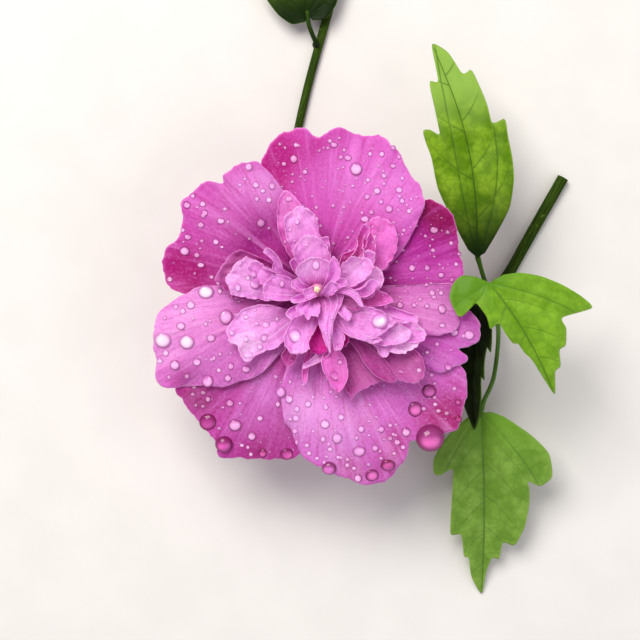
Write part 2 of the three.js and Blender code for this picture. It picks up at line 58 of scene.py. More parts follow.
METRES = 0.001  # in one millimetre
BODY = "root"
COLUMN_TOP = 42.6  # height of the column's tip above the level the shoot lies on

Pairs = tuple[tuple[float, float], ...]
Drops = tuple[tuple[float, float, float], ...]  # place and width of each, in view units


class Slot(Enum):
    """Material slots for the pieces."""

    PETAL = "petal"
    PETALOID = "petaloid"
    LEAF = "leaf"
    CALYX = "calyx"
    STYLE = "style"
    STEM = "stem"
    WATER = "water"


# ---- Small rules of shape ----


def smoothstep(value: np.ndarray, low: float, high: float) -> np.ndarray:
    """Eases from 0 at low to 1 at high."""
    share = np.clip((value - low) / (high - low), 0, 1)
    return share * share * (3 - 2 * share)


def heading(bearing: float | np.ndarray) -> np.ndarray:
    """The flat unit vector of a bearing."""
    turn = np.radians(bearing)
    return np.stack([np.cos(turn), np.sin(turn)], axis=-1)


def unit(vectors: np.ndarray) -> np.ndarray:
    """The same vectors at length 1."""
    return vectors / np.maximum(np.linalg.norm(vectors, axis=-1, keepdims=True), 1e-9)


def smooth_line(points: Pairs | np.ndarray, count: int) -> np.ndarray:
    """Runs a smooth line through points.

    Args:
        points: The points, in order, flat or in space.
        count: How many points the line gets, evenly spaced along it.

    Returns:
        The line's points, one a row.
    """
    points = np.asarray(points, float)
    padded = np.vstack([2 * points[0] - points[1], points, 2 * points[-1] - points[-2]])
    t = np.linspace(0, 1, 12, endpoint=False)[:, None]
    spans = []
    for a, b, c, d in zip(padded, padded[1:], padded[2:], padded[3:]):
        bend = (2 * a - 5 * b + 4 * c - d) * t**2 + (3 * b - a - 3 * c + d) * t**3
        spans.append(0.5 * (2 * b + (c - a) * t + bend))
    line = np.vstack([*spans, points[-1:]])
    steps = np.linalg.norm(np.diff(line, axis=0), axis=1)
    reach = np.concatenate([[0], np.cumsum(steps)])
    places = np.linspace(0, reach[-1], count)
    return np.column_stack([np.interp(places, reach, line[:, k]) for k in range(line.shape[1])])


def rough(x: np.ndarray, y: np.ndarray, seed: int) -> np.ndarray:
    """Smooth noise.

    Args:
        x: Place of each point, where one bump is about 1 across.
        y: The same, the other way.
        seed: Gives each seed its own noise.

    Returns:
        A value at each point, mostly between -1 and 1.
    """
    x, y = np.broadcast_arrays(x, y)
    at = zip(x.ravel().tolist(), y.ravel().tolist())
    return 1.6 * np.array([noise.noise((a, b, 3.7 * seed)) for a, b in at]).reshape(x.shape)


@dataclass(frozen=True)
class Outlook:
    """Looking straight down on the bloom, places are given in view units of a 640 by 640 field."""

    middle: tuple[float, float] = (317, 290)  # where the bloom's axis shows
    step: float = 0.25  # millimetres in one unit, at the level below
    level: float = 34
    eye: tuple[float, float, float] = (0.75, -7.5, 478)

    def flat(self, places: Pairs | np.ndarray, z: float | np.ndarray) -> np.ndarray:
        """Where the places lie when they are at height z.

        Args:
            places: Pairs of view units, right and down.
            z: Their height, one number or one for each.

        Returns:
            Their flat positions.
        """
        places = np.asarray(places, float)
        at_level = (places - self.middle) * (self.step, -self.step)
        nearness = (self.eye[2] - np.asarray(z)) / (self.eye[2] - self.level)
        eye = np.array(self.eye[:2])
        return eye + (at_level - eye) * np.asarray(nearness)[..., None]

    def sight(self, place: tuple[float, float]) -> tuple[Vector, Vector]:
        """The eye and the direction in which it sees a place."""
        target = Vector((*self.flat(place, self.level), self.level))
        return Vector(self.eye), (target - Vector(self.eye)).normalized()


OUTLOOK = Outlook()


def resting_shift() -> np.ndarray:
    """How far the bloom's axis stands from the frame's origin, in millimetres."""
    low, high = (np.array(corner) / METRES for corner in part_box("staminal_column"))
    return np.array([*(low + high)[:2] / 2, high[2] - COLUMN_TOP])


SHIFT = resting_shift()


# ---- Surfaces and pieces ----


@dataclass
class Shape:
    """Closed surfaces, with what their finish reads at each point."""

    points: np.ndarray
    faces: list[tuple[int, ...]]
    uv: np.ndarray
    marks: dict[str, np.ndarray] = field(default_factory=dict)

    def joined(self, other: "Shape") -> "Shape":
        """Both shapes as one.

        Args:
            other: The shape to add. It has the same marks, or none.

        Returns:
            The joined shape.
        """
        start = len(self.points)
        faces = self.faces + [tuple(i + start for i in face) for face in other.faces]
        marks = {}
        for name, values in self.marks.items():
            blank = np.zeros((len(other.points), *values.shape[1:]))
            marks[name] = np.concatenate([values, other.marks.get(name, blank)])
        points = np.vstack([self.points, other.points])
        return Shape(points, faces, np.vstack([self.uv, other.uv]), marks)

    def mesh(self, name: str) -> bpy.types.Mesh:
        """The shape as a mesh in the frame, in metres, with its UV map and marks."""
        mesh = bpy.data.meshes.new(name)
        mesh.from_pydata(((self.points + SHIFT) * METRES).tolist(), [], self.faces)
        corners = np.empty(len(mesh.loops), dtype=np.int32)
        mesh.loops.foreach_get("vertex_index", corners)
        mesh.uv_layers.new(name="Blade").data.foreach_set("uv", self.uv[corners].ravel())
        for mark, values in self.marks.items():
            kind, key = ("FLOAT", "value") if values.ndim == 1 else ("FLOAT_VECTOR", "vector")
            mesh.attributes.new(mark, kind, "POINT").data.foreach_set(key, values.ravel())
        mesh.shade_smooth()
        mesh.validate()
        return mesh


def place_piece(
    mesh: bpy.types.Mesh, material: bpy.types.Material, slot: Slot, *nodes: str
) -> bpy.types.Object:
    """Puts a finished mesh on the shoot.

    Args:
        mesh: Its place is in its points.
        material: Its finish.
        slot: Not used.
        *nodes: The CAD nodes it stands for.

    Returns:
        The piece.
    """
    mesh.materials.clear()
    mesh.materials.append(material)
    piece = bpy.data.objects.new(mesh.name, mesh)
    bpy.context.scene.collection.objects.link(piece)
    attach(piece, BODY)
    if nodes:
        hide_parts(*nodes)
    log.info("%s: %d faces", piece.name, len(mesh.polygons))
    return piece


def grid_normals(rows: np.ndarray) -> np.ndarray:
    """Unit normals of a grid of points whose rows run outwards and columns turn left."""
    return unit(np.cross(np.gradient(rows, axis=0), np.gradient(rows, axis=1)))


def thin_sheet(
    rows: np.ndarray, thickness: np.ndarray, uv: np.ndarray, marks: dict[str, np.ndarray]
) -> Shape:
    """A closed sheet about a grid of points.

    Args:
        rows: The grid, from the foot outwards, each row turning left.
        thickness: At each point of the grid.
        uv: At each point of the grid.
        marks: Named values at each point of the grid.

    Returns:
        The sheet, upper face first.
    """
    height, width = rows.shape[:2]
    half = grid_normals(rows) * (thickness / 2)[..., None]
    points = np.vstack([(rows + half).reshape(-1, 3), (rows - half).reshape(-1, 3)])
    index = np.arange(height * width).reshape(height, width)
    under = index + height * width
    corners = [index[:-1, :-1], index[1:, :-1], index[1:, 1:], index[:-1, 1:]]
    upper = np.stack(corners, axis=-1).reshape(-1, 4)
    lower = (upper + height * width)[:, ::-1]
    loops = []
    for layer in (index, under):
        around = [layer[0, :-1], layer[:-1, -1], layer[-1, :0:-1], layer[:0:-1, 0]]
        loops.append(np.concatenate(around))
    top, bottom = loops
    edge = np.stack([top, np.roll(top, -1), np.roll(bottom, -1), bottom], axis=-1)
    faces = np.vstack([upper, lower, edge]).tolist()
    both = {name: np.tile(np.asarray(value, float).ravel(), 2) for name, value in marks.items()}
    return Shape(points, [tuple(f) for f in faces], np.tile(uv.reshape(-1, 2), (2, 1)), both)


def tube(route: np.ndarray, radii: np.ndarray, sides: int = 16) -> Shape:
    """A limb with closed, flat ends.

    Args:
        route: Its centre line, one point a row.
        radii: Its radius at each point, or at each point and side.
        sides: Points round it.

    Returns:
        The limb. Its UV is turns round it and millimetres along it.
    """
    tangents = unit(np.gradient(route, axis=0))
    side = np.cross(tangents[0], (0, 0, 1) if abs(tangents[0][2]) < 0.9 else (1, 0, 0))
    turn = np.linspace(0, 2 * np.pi, sides, endpoint=False)
    radii = np.asarray(radii, float)
    radii = radii if radii.ndim == 2 else np.repeat(radii[:, None], sides, axis=1)
    rings = []
    for centre, tangent, radius in zip(route, tangents, radii):
        side = unit(side - tangent * side.dot(tangent))
        other = np.cross(tangent, side)
        arms = np.cos(turn)[:, None] * side + np.sin(turn)[:, None] * other
        rings.append(centre + arms * radius[:, None])
    count = len(route)
    index = np.arange(count * sides).reshape(count, sides)
    ahead = np.roll(index, -1, axis=1)
    wall = np.stack([index[:-1], ahead[:-1], ahead[1:], index[1:]], axis=-1).reshape(-1, 4)
    faces = [tuple(f) for f in wall.tolist()]
    ends = [count * sides, count * sides + 1]
    faces += [(ends[0], int(b), int(a)) for a, b in zip(index[0], ahead[0])]
    faces += [(ends[1], int(a), int(b)) for a, b in zip(index[-1], ahead[-1])]
    lengths = np.concatenate([[0], np.cumsum(np.linalg.norm(np.diff(route, axis=0), axis=1))])
    around = np.abs(np.linspace(-1, 1, sides, endpoint=False))
    uv = np.stack(np.meshgrid(around, lengths), axis=-1).reshape(-1, 2)
    points = np.vstack([*rings, route[0], route[-1]])
    return Shape(points, faces, np.vstack([uv, [[0, 0], [0, lengths[-1]]]]))


# ---- Node trees ----


def add_node(tree: bpy.types.NodeTree, kind: str, settings: dict, inputs: dict) -> bpy.types.Node:
    """Adds a node to a tree.

    Args:
        tree: A shader or geometry tree.
        kind: The node's type.
        settings: Its own settings, by name.
        inputs: For each of its sockets, a value or the socket that feeds it.

    Returns:
        The node.
    """
    made = tree.nodes.new(kind)
    for name, value in settings.items():
        setattr(made, name, value)
    for name, value in inputs.items():
        if isinstance(value, bpy.types.NodeSocket):
            tree.links.new(value, made.inputs[name])
        else:
            made.inputs[name].default_value = value
    return made


def new_growth(name: str, sockets: dict[str, str]) -> bpy.types.NodeTree:
    """Starts a geometry tree that takes a geometry and a material.

    Args:
        name: Of the tree.
        sockets: Its other inputs, each name with its kind.

    Returns:
        The tree, with its inputs and its output declared.
    """
    tree = bpy.data.node_groups.new(name, "GeometryNodeTree")
    for socket, kind in ({"Geometry": "Geometry", "Material": "Material"} | sockets).items():
        tree.interface.new_socket(socket, in_out="INPUT", socket_type=f"NodeSocket{kind}")
    tree.interface.new_socket("Geometry", in_out="OUTPUT", socket_type="NodeSocketGeometry")
    return tree


def end_growth(tree: bpy.types.NodeTree, copies: bpy.types.NodeSocket, wear: bpy.types.NodeSocket) -> None:
    """Ends a geometry tree: its copies become real and smooth, and wear the material."""
    real = add_node(tree, "GeometryNodeRealizeInstances", {}, {0: copies}).outputs[0]
    smooth = add_node(tree, "GeometryNodeSetShadeSmooth", {}, {0: real}).outputs[0]
    done = add_node(tree, "GeometryNodeSetMaterial", {}, {"Geometry": smooth, "Material": wear}).outputs[0]
    add_node(tree, "NodeGroupOutput", {}, {0: done})


def carried(tree: bpy.types.NodeTree, name: str, kind: str) -> bpy.types.NodeSocket:
    """What a geometry's points carry under a name."""
    made = add_node(tree, "GeometryNodeInputNamedAttribute", {"data_type": kind}, {"Name": name})
    return next(s for s in made.outputs if s.enabled and s.name == "Attribute")


def grown(mesh: bpy.types.Mesh, tree: bpy.types.NodeTree, values: dict[str, object]) -> bpy.types.Mesh:
    """Runs a geometry tree on a mesh.

    Args:
        mesh: What the tree starts from. The result takes its name.
        tree: The tree.
        values: Its inputs, by name.

    Returns:
        The result as a plain mesh.
    """
    carrier = bpy.data.objects.new(mesh.name, mesh)
    bpy.context.scene.collection.objects.link(carrier)
    modifier = carrier.modifiers.new("Growth", "NODES")
    modifier.node_group = tree
    for socket in tree.interface.items_tree:
        if socket.in_out == "INPUT" and socket.name in values:
            modifier[socket.identifier] = values[socket.name]
    seen = carrier.evaluated_get(bpy.context.evaluated_depsgraph_get())
    result = bpy.data.meshes.new_from_object(seen)
    name = mesh.name
    bpy.data.objects.remove(carrier)
    bpy.data.meshes.remove(mesh)
    result.name = name
    return result


def linear(colour: str) -> tuple[float, float, float, float]:
    """Turns an sRGB hex colour to linear light."""
    shares = [int(colour[k : k + 2], 16) / 255 for k in (1, 3, 5)]
    bright = [s / 12.92 if s <= 0.04045 else ((s + 0.055) / 1.055) ** 2.4 for s in shares]
    return (*bright, 1.0)


@dataclass
class Paint:
    """Builds one material: the tree and the few moves that every finish makes."""

    name: str

    def __post_init__(self) -> None:
        """Starts from an empty tree."""
        self.material = bpy.data.materials.new(self.name)
        self.material.use_nodes = True
        self.tree = self.material.node_tree
        self.tree.nodes.clear()

    def maths(self, operation: str, *values: object, clamp: bool = False) -> bpy.types.NodeSocket:
        """One step of arithmetic on values or sockets."""
        settings = {"operation": operation, "use_clamp": clamp}
        return add_node(self.tree, "ShaderNodeMath", settings, dict(enumerate(values))).outputs[0]

    def mix(self, share: object, start: object, end: object) -> bpy.types.NodeSocket:
        """Blends two colours, given as hex or as sockets."""
        start, end = (linear(c) if isinstance(c, str) else c for c in (start, end))
        settings = {"data_type": "RGBA", "clamp_factor": True}
        made = add_node(self.tree, "ShaderNodeMix", settings, {0: share, 6: start, 7: end})
        return made.outputs[2]

    def band(self, value: object, low: float, high: float) -> bpy.types.NodeSocket:
        """Eases from 0 at low to 1 at high."""
        settings = {"interpolation_type": "SMOOTHSTEP"}
        return add_node(self.tree, "ShaderNodeMapRange", settings, {0: value, 1: low, 2: high}).outputs[0]

    def mark(self, name: str) -> bpy.types.NodeSocket:
        """A value that the mesh carries."""
        settings = {"attribute_name": name}
        return add_node(self.tree, "ShaderNodeAttribute", settings, {}).outputs["Fac"]

    def tone(self, name: str) -> bpy.types.NodeSocket:
        """A colour that the mesh carries."""
        settings = {"attribute_name": name}
        return add_node(self.tree, "ShaderNodeAttribute", settings, {}).outputs["Color"]

    def blade(self) -> tuple[bpy.types.NodeSocket, bpy.types.NodeSocket, bpy.types.NodeSocket]:
        """The piece's own UV map: whole, across and along."""
        uv = add_node(self.tree, "ShaderNodeUVMap", {"uv_map": "Blade"}, {}).outputs[0]
        parts = add_node(self.tree, "ShaderNodeSeparateXYZ", {}, {0: uv}).outputs
        return uv, parts[0], parts[1]

    def grain(self, vector: object, scale: float, stretch: tuple, detail: float = 2) -> bpy.types.NodeSocket:
        """Noise along a stretched vector, about 0.5."""
        stretched = add_node(self.tree, "ShaderNodeMapping", {}, {0: vector, "Scale": stretch}).outputs[0]
        inputs = {"Vector": stretched, "Scale": scale, "Detail": detail}
        return add_node(self.tree, "ShaderNodeTexNoise", {}, inputs).outputs[0]

    def here(self) -> bpy.types.NodeSocket:
        """Object coordinates, in metres."""
        return add_node(self.tree, "ShaderNodeTexCoord", {}, {}).outputs["Object"]

    def relief(self, height: object, depth: float, under: object = None) -> bpy.types.NodeSocket:
        """Bumps of a depth in millimetres, over other bumps if there are any."""
        inputs = {"Strength": 1.0, "Distance": depth * METRES, "Height": height}
        if under is not None:
            inputs["Normal"] = under
        return add_node(self.tree, "ShaderNodeBump", {}, inputs).outputs[0]

    def finish(self, inputs: dict) -> bpy.types.Material:
        """Ends the tree in one surface.

        Args:
            inputs: The surface shader's sockets, by name.

        Returns:
            The material.
        """
        shader = add_node(self.tree, "ShaderNodeBsdfPrincipled", {}, inputs).outputs[0]
        add_node(self.tree, "ShaderNodeOutputMaterial", {}, {"Surface": shader})
        return self.material


@dataclass(frozen=True)
class PetalFinish:
    """Fresh petal tissue: soft, thin and a little see-through, so it shows its veins; a painted glow stands in for the
    light that comes through it.

    throat is its colour where it leaves the calyx, darkened also as painted shade where the feet crowd, and the tint of
    the painted shade in its hollows;
    body its open part, deep and pale its deeper and paler spots, which also carry painted shade and painted light, and
    rim its thin margin, painted lighter for the light through it.
    """

    name: str
    throat: str
    body: str
    deep: str
    pale: str
    rim: str
    throat_end: float = 0.3  # share of the way out
    throat_fade: float = 0.3
    streaks: float = 0.34  # how far the veins lighten it
    veins: float = 26  # across one petal
    rays: float = 0.4  # how far the broad veins near the throat lighten it
    line: float = 0.5  # painted highlight: how far its very edge goes towards a bright pink
    glow: float = 0.04  # painted glow: emission of its deep colour for the light that reaches it through the petals around it

    def material(self) -> bpy.types.Material:
        """Builds the material."""
        paint = Paint(self.name)
        uv, _, out = paint.blade()
        here = paint.here()
        streak = paint.grain(uv, 1.0, (self.veins, 1.6, 1), 3)
        fine = paint.grain(uv, 1.0, (self.veins * 4, 4, 1), 2)
        cells = paint.grain(here, 1500, (1, 1, 1), 3)
        patch = paint.grain(here, 150, (1, 1, 1), 4)
        ragged = paint.maths("MULTIPLY_ADD", streak, 0.22, paint.maths("SUBTRACT", out, 0.11))
        start, end = self.throat_end - self.throat_fade / 2, self.throat_end + self.throat_fade / 2
        colour = paint.mix(paint.band(ragged, start, end), self.throat, self.body)
        uneven = paint.maths("MULTIPLY_ADD", patch, 1.2, 0.4)
        cloud = paint.maths("MULTIPLY", paint.band(patch, 0.5, 0.7), 0.3)
        colour = paint.mix(cloud, colour, self.deep)
        # Painted shade in the throat colour, and deeper spots that are partly painted shade.
        for name, tint in (("shade", self.throat), ("blush_and_shade", self.deep)):
            share = paint.maths("MULTIPLY", paint.mark(name), uneven, clamp=True)
            colour = paint.mix(share, colour, tint)
        line = paint.maths("MULTIPLY", paint.band(streak, 0.52, 0.66), self.streaks)
        # Paler spots, which are partly painted light, and the lighter veins.
        lift = paint.maths("MULTIPLY_ADD", paint.mark("pale"), uneven, line, clamp=True)
        colour = paint.mix(lift, colour, self.pale)
        broad = paint.band(paint.grain(uv, 1.0, (self.veins * 0.7, 0.4, 1), 1), 0.56, 0.68)
        ray = paint.maths("MULTIPLY", paint.maths("MULTIPLY", broad, paint.band(out, 0.85, 0.45)), self.rays)
        colour = paint.mix(ray, colour, self.pale)
        vein = paint.maths("MULTIPLY", paint.band(fine, 0.52, 0.7), 0.3)
        colour = paint.mix(vein, colour, self.deep)
        colour = paint.mix(paint.maths("MULTIPLY", paint.band(cells, 0.5, 0.66), 0.15), colour, self.pale)
        colour = paint.mix(paint.maths("MULTIPLY", paint.band(cells, 0.5, 0.34), 0.22), colour, self.deep)
        margin = paint.mark("edge")
        # Its thin margin: paler colour with painted light coming through it.
        colour = paint.mix(paint.maths("MULTIPLY", paint.band(margin, 0.85, 1.0), 0.35), colour, self.rim)
        # Painted highlight along its very edge.
        colour = paint.mix(paint.maths("MULTIPLY", paint.band(margin, 0.95, 1.0), self.line), colour, "#ffaeee")
        bump = paint.relief(streak, 0.16)
        bump = paint.relief(fine, 0.07, bump)
        bump = paint.relief(cells, 0.06, bump)
        return paint.finish(
            {
                "Base Color": colour,
                "Roughness": 0.45,
                "Normal": bump,
                "IOR": 1.4,
                "Subsurface Weight": 0.4,
                "Subsurface Radius": (1.0, 0.35, 0.7),
                "Subsurface Scale": 0.0011,
                "Specular IOR Level": 0.26,
                # Painted glow: the petal gives off a little of its deep colour.
                "Emission Color": linear(self.deep),
                "Emission Strength": self.glow,
            }
        )

    def seen(self, shape: Shape) -> np.ndarray:
        """Its colour at each point of a form, with its painted shade and light but without the grain, as linear red,
        green and blue.
        """
        hexes = (self.throat, self.body, self.deep, self.pale)
        throat, body, deep, pale = (np.array(linear(colour)[:3]) for colour in hexes)
        start, end = self.throat_end - self.throat_fade / 2, self.throat_end + self.throat_fade / 2
        colour = throat + (body - throat) * smoothstep(shape.uv[:, 1], start, end)[:, None]
        for name, tint in (("shade", throat), ("blush_and_shade", deep), ("pale", pale)):
            colour = colour + (tint - colour) * np.clip(shape.marks[name], 0, 1)[:, None]
        return colour


@dataclass(frozen=True)
class LeafFinish:
    """Living leaf: a thin waxy skin over green tissue, with sunk, darker veins and a fine net between."""

    name: str
    blade: str
    base: str  # its colour towards the stalk: painted shade on the upright leaf, painted light on the soft leaf
    light: str  # between the veins
    vein: str
    base_reach: float = 10  # millimetres
    gloss: float = 0.3
    margin: str = "#8db045"
    tip: str = "#86ad45"
    tip_start: float = 60  # millimetres along

    @staticmethod
    def veins(paint: Paint) -> bpy.types.NodeSocket:
        """How strongly each point is on a vein."""
        rib = paint.maths("ABSOLUTE", paint.mark("rib"))
        line = paint.maths("MULTIPLY", paint.band(rib, 1.4, 0.5), 0.8)
        for name in SIDE_VEINS:
            near = paint.band(paint.maths("ABSOLUTE", paint.mark(name)), 1.3, 0.4)
            line = paint.maths("MAXIMUM", line, paint.maths("MULTIPLY", near, 0.55))
        run = paint.mark("run")
        phase = paint.maths("ABSOLUTE", paint.maths("SUBTRACT", run, paint.maths("ROUND", run)))
        grown = paint.band(run, -0.5, -0.4)
        fading = paint.maths("MULTIPLY", paint.band(rib, 60, 5), 0.5)
        small = paint.maths("MULTIPLY", paint.band(phase, 0.034, 0.01), fading)
        return paint.maths("MAXIMUM", line, paint.maths("MULTIPLY", grown, small))

    def material(self) -> bpy.types.Material:
        """Builds the material."""
        paint = Paint(self.name)
        uv, _, along = paint.blade()
        here = paint.here()
        patch = paint.grain(here, 240, (1, 1, 1), 4)
        colour = paint.mix(paint.band(patch, 0.36, 0.68), self.blade, self.light)
        cells = add_node(
            paint.tree,
            "ShaderNodeTexVoronoi",
            {"feature": "DISTANCE_TO_EDGE"},
            {"Vector": uv, "Scale": 0.42},
        ).outputs["Distance"]
        net = paint.maths("SUBTRACT", 1.0, paint.band(cells, 0.0, 0.14))
        colour = paint.mix(paint.maths("MULTIPLY", net, 0.24), colour, self.vein)
        colour = paint.mix(paint.band(along, self.tip_start, self.tip_start + 16), colour, self.tip)
        vein = self.veins(paint)
        colour = paint.mix(vein, colour, self.vein)
        # Towards the stalk: painted shade on the upright leaf, painted light on the soft leaf.
        foot = paint.maths("SUBTRACT", 1.0, paint.band(along, 0.0, self.base_reach))
        colour = paint.mix(foot, colour, self.base)
        rim = paint.maths("MULTIPLY", paint.band(paint.mark("edge"), 0.96, 1.0), 0.5)
        colour = paint.mix(rim, colour, self.margin)
        pores = paint.grain(uv, 3.5, (1, 1, 1), 2)
        bump = paint.relief(paint.band(cells, 0.0, 0.3), 0.035)
        bump = paint.relief(pores, 0.03, bump)
        bump = paint.relief(paint.maths("SUBTRACT", 1.0, vein), 0.06, bump)
        return paint.finish(
            {
                "Base Color": colour,
                "Roughness": 0.5,
                "Specular IOR Level": self.gloss,
                "Normal": bump,
                "IOR": 1.42,
                "Subsurface Weight": 0.12,
                "Subsurface Radius": (0.5, 1.0, 0.2),
                "Subsurface Scale": 0.0007,
            }
        )


@dataclass(frozen=True)
class StemFinish:
    """Young green bark: matt skin with fine lengthwise lines and pale breathing pores."""

    name: str
    bark: str
    light: str
    pore: str

    def material(self) -> bpy.types.Material:
        """Builds the material."""
        paint = Paint(self.name)
        uv, _, _ = paint.blade()
        here = paint.here()
        line = paint.grain(uv, 1.0, (9, 0.12, 1), 3)
        colour = paint.mix(paint.band(line, 0.4, 0.65), self.bark, self.light)
        spots = paint.grain(here, 900, (1, 1, 1), 1)
        colour = paint.mix(paint.maths("MULTIPLY", paint.band(spots, 0.67, 0.76), 0.4), colour, self.pore)
        bump = paint.relief(line, 0.12)
        bump = paint.relief(spots, 0.06, bump)
        surface = {
            "Base Color": colour,
            "Roughness": 0.55,
            "Normal": bump,
            "Specular IOR Level": 0.07,
        }
        return paint.finish(surface)


@dataclass(frozen=True)
class WaterFinish:
    """Rain water on a petal: a glossy dome that shows the tissue below it.

    Light and shade are painted on it: painted light in the dome's middle and low side, painted shade round its foot and
    on the side towards the lamp, and a painted glow.
    The first four numbers are how far the tissue's colour goes towards the painted light or the painted shade colour.
    """

    name: str
    core: float
    bright: float  # painted light: where most light would gather
    dim: float  # painted shade on the side towards the lamp
    ring: float  # painted shade round the foot
    clearness: float
    glow: float  # painted glow: how much light the dome seems to throw back through itself
    ring_start: float = 0.6  # where the painted shade round the foot starts, as a share of the way out
    dim_start: float = -0.15  # where the painted shade on the lamp's side begins: how far the surface leans away from the light
    # Colours of the painted light and the painted shade.
    light: str = "#ffd8fb"
    dark: str = "#6a0650"

    def material(self) -> bpy.types.Material:
        """Builds the material."""
        paint = Paint(self.name)
        rim, tissue = paint.mark("rim"), paint.tone("tissue")
        normal = add_node(paint.tree, "ShaderNodeNewGeometry", {}, {}).outputs["Normal"]
        lean = add_node(paint.tree, "ShaderNodeSeparateXYZ", {}, {0: normal}).outputs[1]
        patch = paint.band(paint.grain(paint.here(), 160, (1, 1, 1), 1), 0.42, 0.6)
        # Painted light: the tissue's colour goes towards the light colour, in patches.
        lit = add_node(
            paint.tree, "ShaderNodeMapRange", {}, {0: patch, 3: self.core, 4: self.bright}
        ).outputs[0]
        inside = paint.mix(lit, tissue, self.light)
        # Painted shade on the side that faces the lamp.
        towards = paint.band(lean, self.dim_start, self.dim_start + 0.6)
        inside = paint.mix(towards, inside, paint.mix(self.dim, tissue, self.dark))
        # Painted shade round the foot.
        foot = paint.band(rim, self.ring_start, 0.96)
        colour = paint.mix(foot, inside, paint.mix(self.ring, tissue, self.dark))
        # Painted glow from the dome's lit middle.
        gathered = paint.mix(paint.band(rim, 0.25, 0.85), inside, "#000000")
        surface = {
            "Base Color": colour,
            "Roughness": 0.06,
            "IOR": 1.33,
            "Transmission Weight": self.clearness,
            "Specular IOR Level": 0.7,
            "Emission Color": gathered,
            "Emission Strength": self.glow,
        }
        return paint.finish(surface)


@dataclass(frozen=True)
class PlainFinish:
    """A soft, even skin with slight mottling: column, stigma and the studio floor."""

    name: str
    colour: str
    other: str
    roughness: float = 0.6
    scale: float = 900  # patches in a metre

    def material(self) -> bpy.types.Material:
        """Builds the material."""
        paint = Paint(self.name)
        grain = paint.grain(paint.here(), self.scale, (1, 1, 1), 2)
        colour = paint.mix(paint.band(grain, 0.35, 0.65), self.colour, self.other)
        surface = {"Base Color": colour, "Roughness": self.roughness, "Normal": paint.relief(grain, 0.05)}
        return paint.finish(surface)


Finish = PetalFinish | LeafFinish | StemFinish | WaterFinish | PlainFinish

YOUNG_BARK = StemFinish("young green bark", "#233804", "#38520d", "#6f8c30")
DOWNY_CALYX = StemFinish("downy calyx", "#48651a", "#64842c", "#8fa84e")
SMOOTH_COLUMN = PlainFinish("smooth staminal column", "#e08fc0", "#f0a8c8", 0.5, 700)
WAXY_STIGMA = PlainFinish("waxy stigma", "#fbf3d2", "#f3e2a4", 0.4, 1500)
STUDIO_BOARD = PlainFinish("matt studio board", "#e9e8e5", "#e6e5e2", 0.8, 60)
RAIN_WATER = WaterFinish("rain water", 0.4, 0.75, 0.16, 0.42, 0.06, 0.22, light="#ffc6f6")
# Painted light: a brighter copy of the rain water, for drops that catch the most light.
LIT_WATER = WaterFinish("rain water, full of light", 0.6, 0.8, 0.1, 0.3, 0.04, 0.22, 0.5, 0, light="#ffe8fc")
# A deeper copy with strong painted shade on the side towards the lamp and round the foot.
RIM_WATER = WaterFinish(
    "rain water, gathered at the rims", 0.2, 0.6, 0.6, 0.8, 0.05, 0.2, 0.45, -0.35, "#ff7acc", "#700444"
)
FINE_WATER = WaterFinish("fine rain water", 0.36, 0.55, 0.08, 0.2, 0.06, 0.14, light="#ffccf7")


@cache
def made(finish: Finish) -> bpy.types.Material:
    """Each finish is made once."""
    return finish.material()


# ---- Guard petals ----


@dataclass(frozen=True)
class Spot:
    """A soft round patch, placed by where it shows."""

    at: tuple[float, float]
    size: float
    strength: float

    def on(self, points: np.ndarray) -> np.ndarray:
        """How strongly it marks each point."""
        centre = OUTLOOK.flat(self.at, OUTLOOK.level)
        reach = self.size * OUTLOOK.step
        distance = np.linalg.norm(points[..., :2] - centre, axis=-1)
        return self.strength * np.exp(-((distance / reach) ** 2))


def marked(points: np.ndarray, spots: tuple[Spot, ...]) -> np.ndarray:
    """The sum of several spots at each point."""
    return sum((spot.on(points) for spot in spots), np.zeros(points.shape[:-1]))


def tinted(points: np.ndarray, petal: "GuardPetal | Petaloid") -> dict[str, np.ndarray]:
    """Where a petal is deeper, paler and in painted shade; the deeper and paler spots are partly painted shade and
    painted light.
    """
    spots = {"blush_and_shade": petal.blush_and_shade, "pale": petal.pale, "shade": petal.shade}
    return {name: marked(points, some) for name, some in spots.items()}


@dataclass(frozen=True)
class Funnel:
    """The shared surface that the guard petals are layers of."""

    throat_z: float = 20.9
    rise: float = 12
    rise_radius: float = 9
    limb_radius: float = 40
    rim_lift: float = 4
    lift_bearing: float = 80
    level_step: float = 1.5
    claw_radius: float = 2.6
    layer_radius: float = 5.5

    def height(self, flat: np.ndarray, level: np.ndarray) -> np.ndarray:
        """The surface's height.

        Args:
            flat: Flat positions.
            level: Which layer each lies on, counted from the lowest.

        Returns:
            The height at each.
        """
        radius = np.linalg.norm(flat, axis=-1)
        rise = self.rise * (1 - np.exp(-radius / self.rise_radius))
        lean = flat @ heading(self.lift_bearing)
        lift = self.rim_lift * radius * lean / self.limb_radius**2
        step = self.level_step * smoothstep(radius, self.claw_radius, self.layer_radius)
        return self.throat_z + rise + lift + level * step


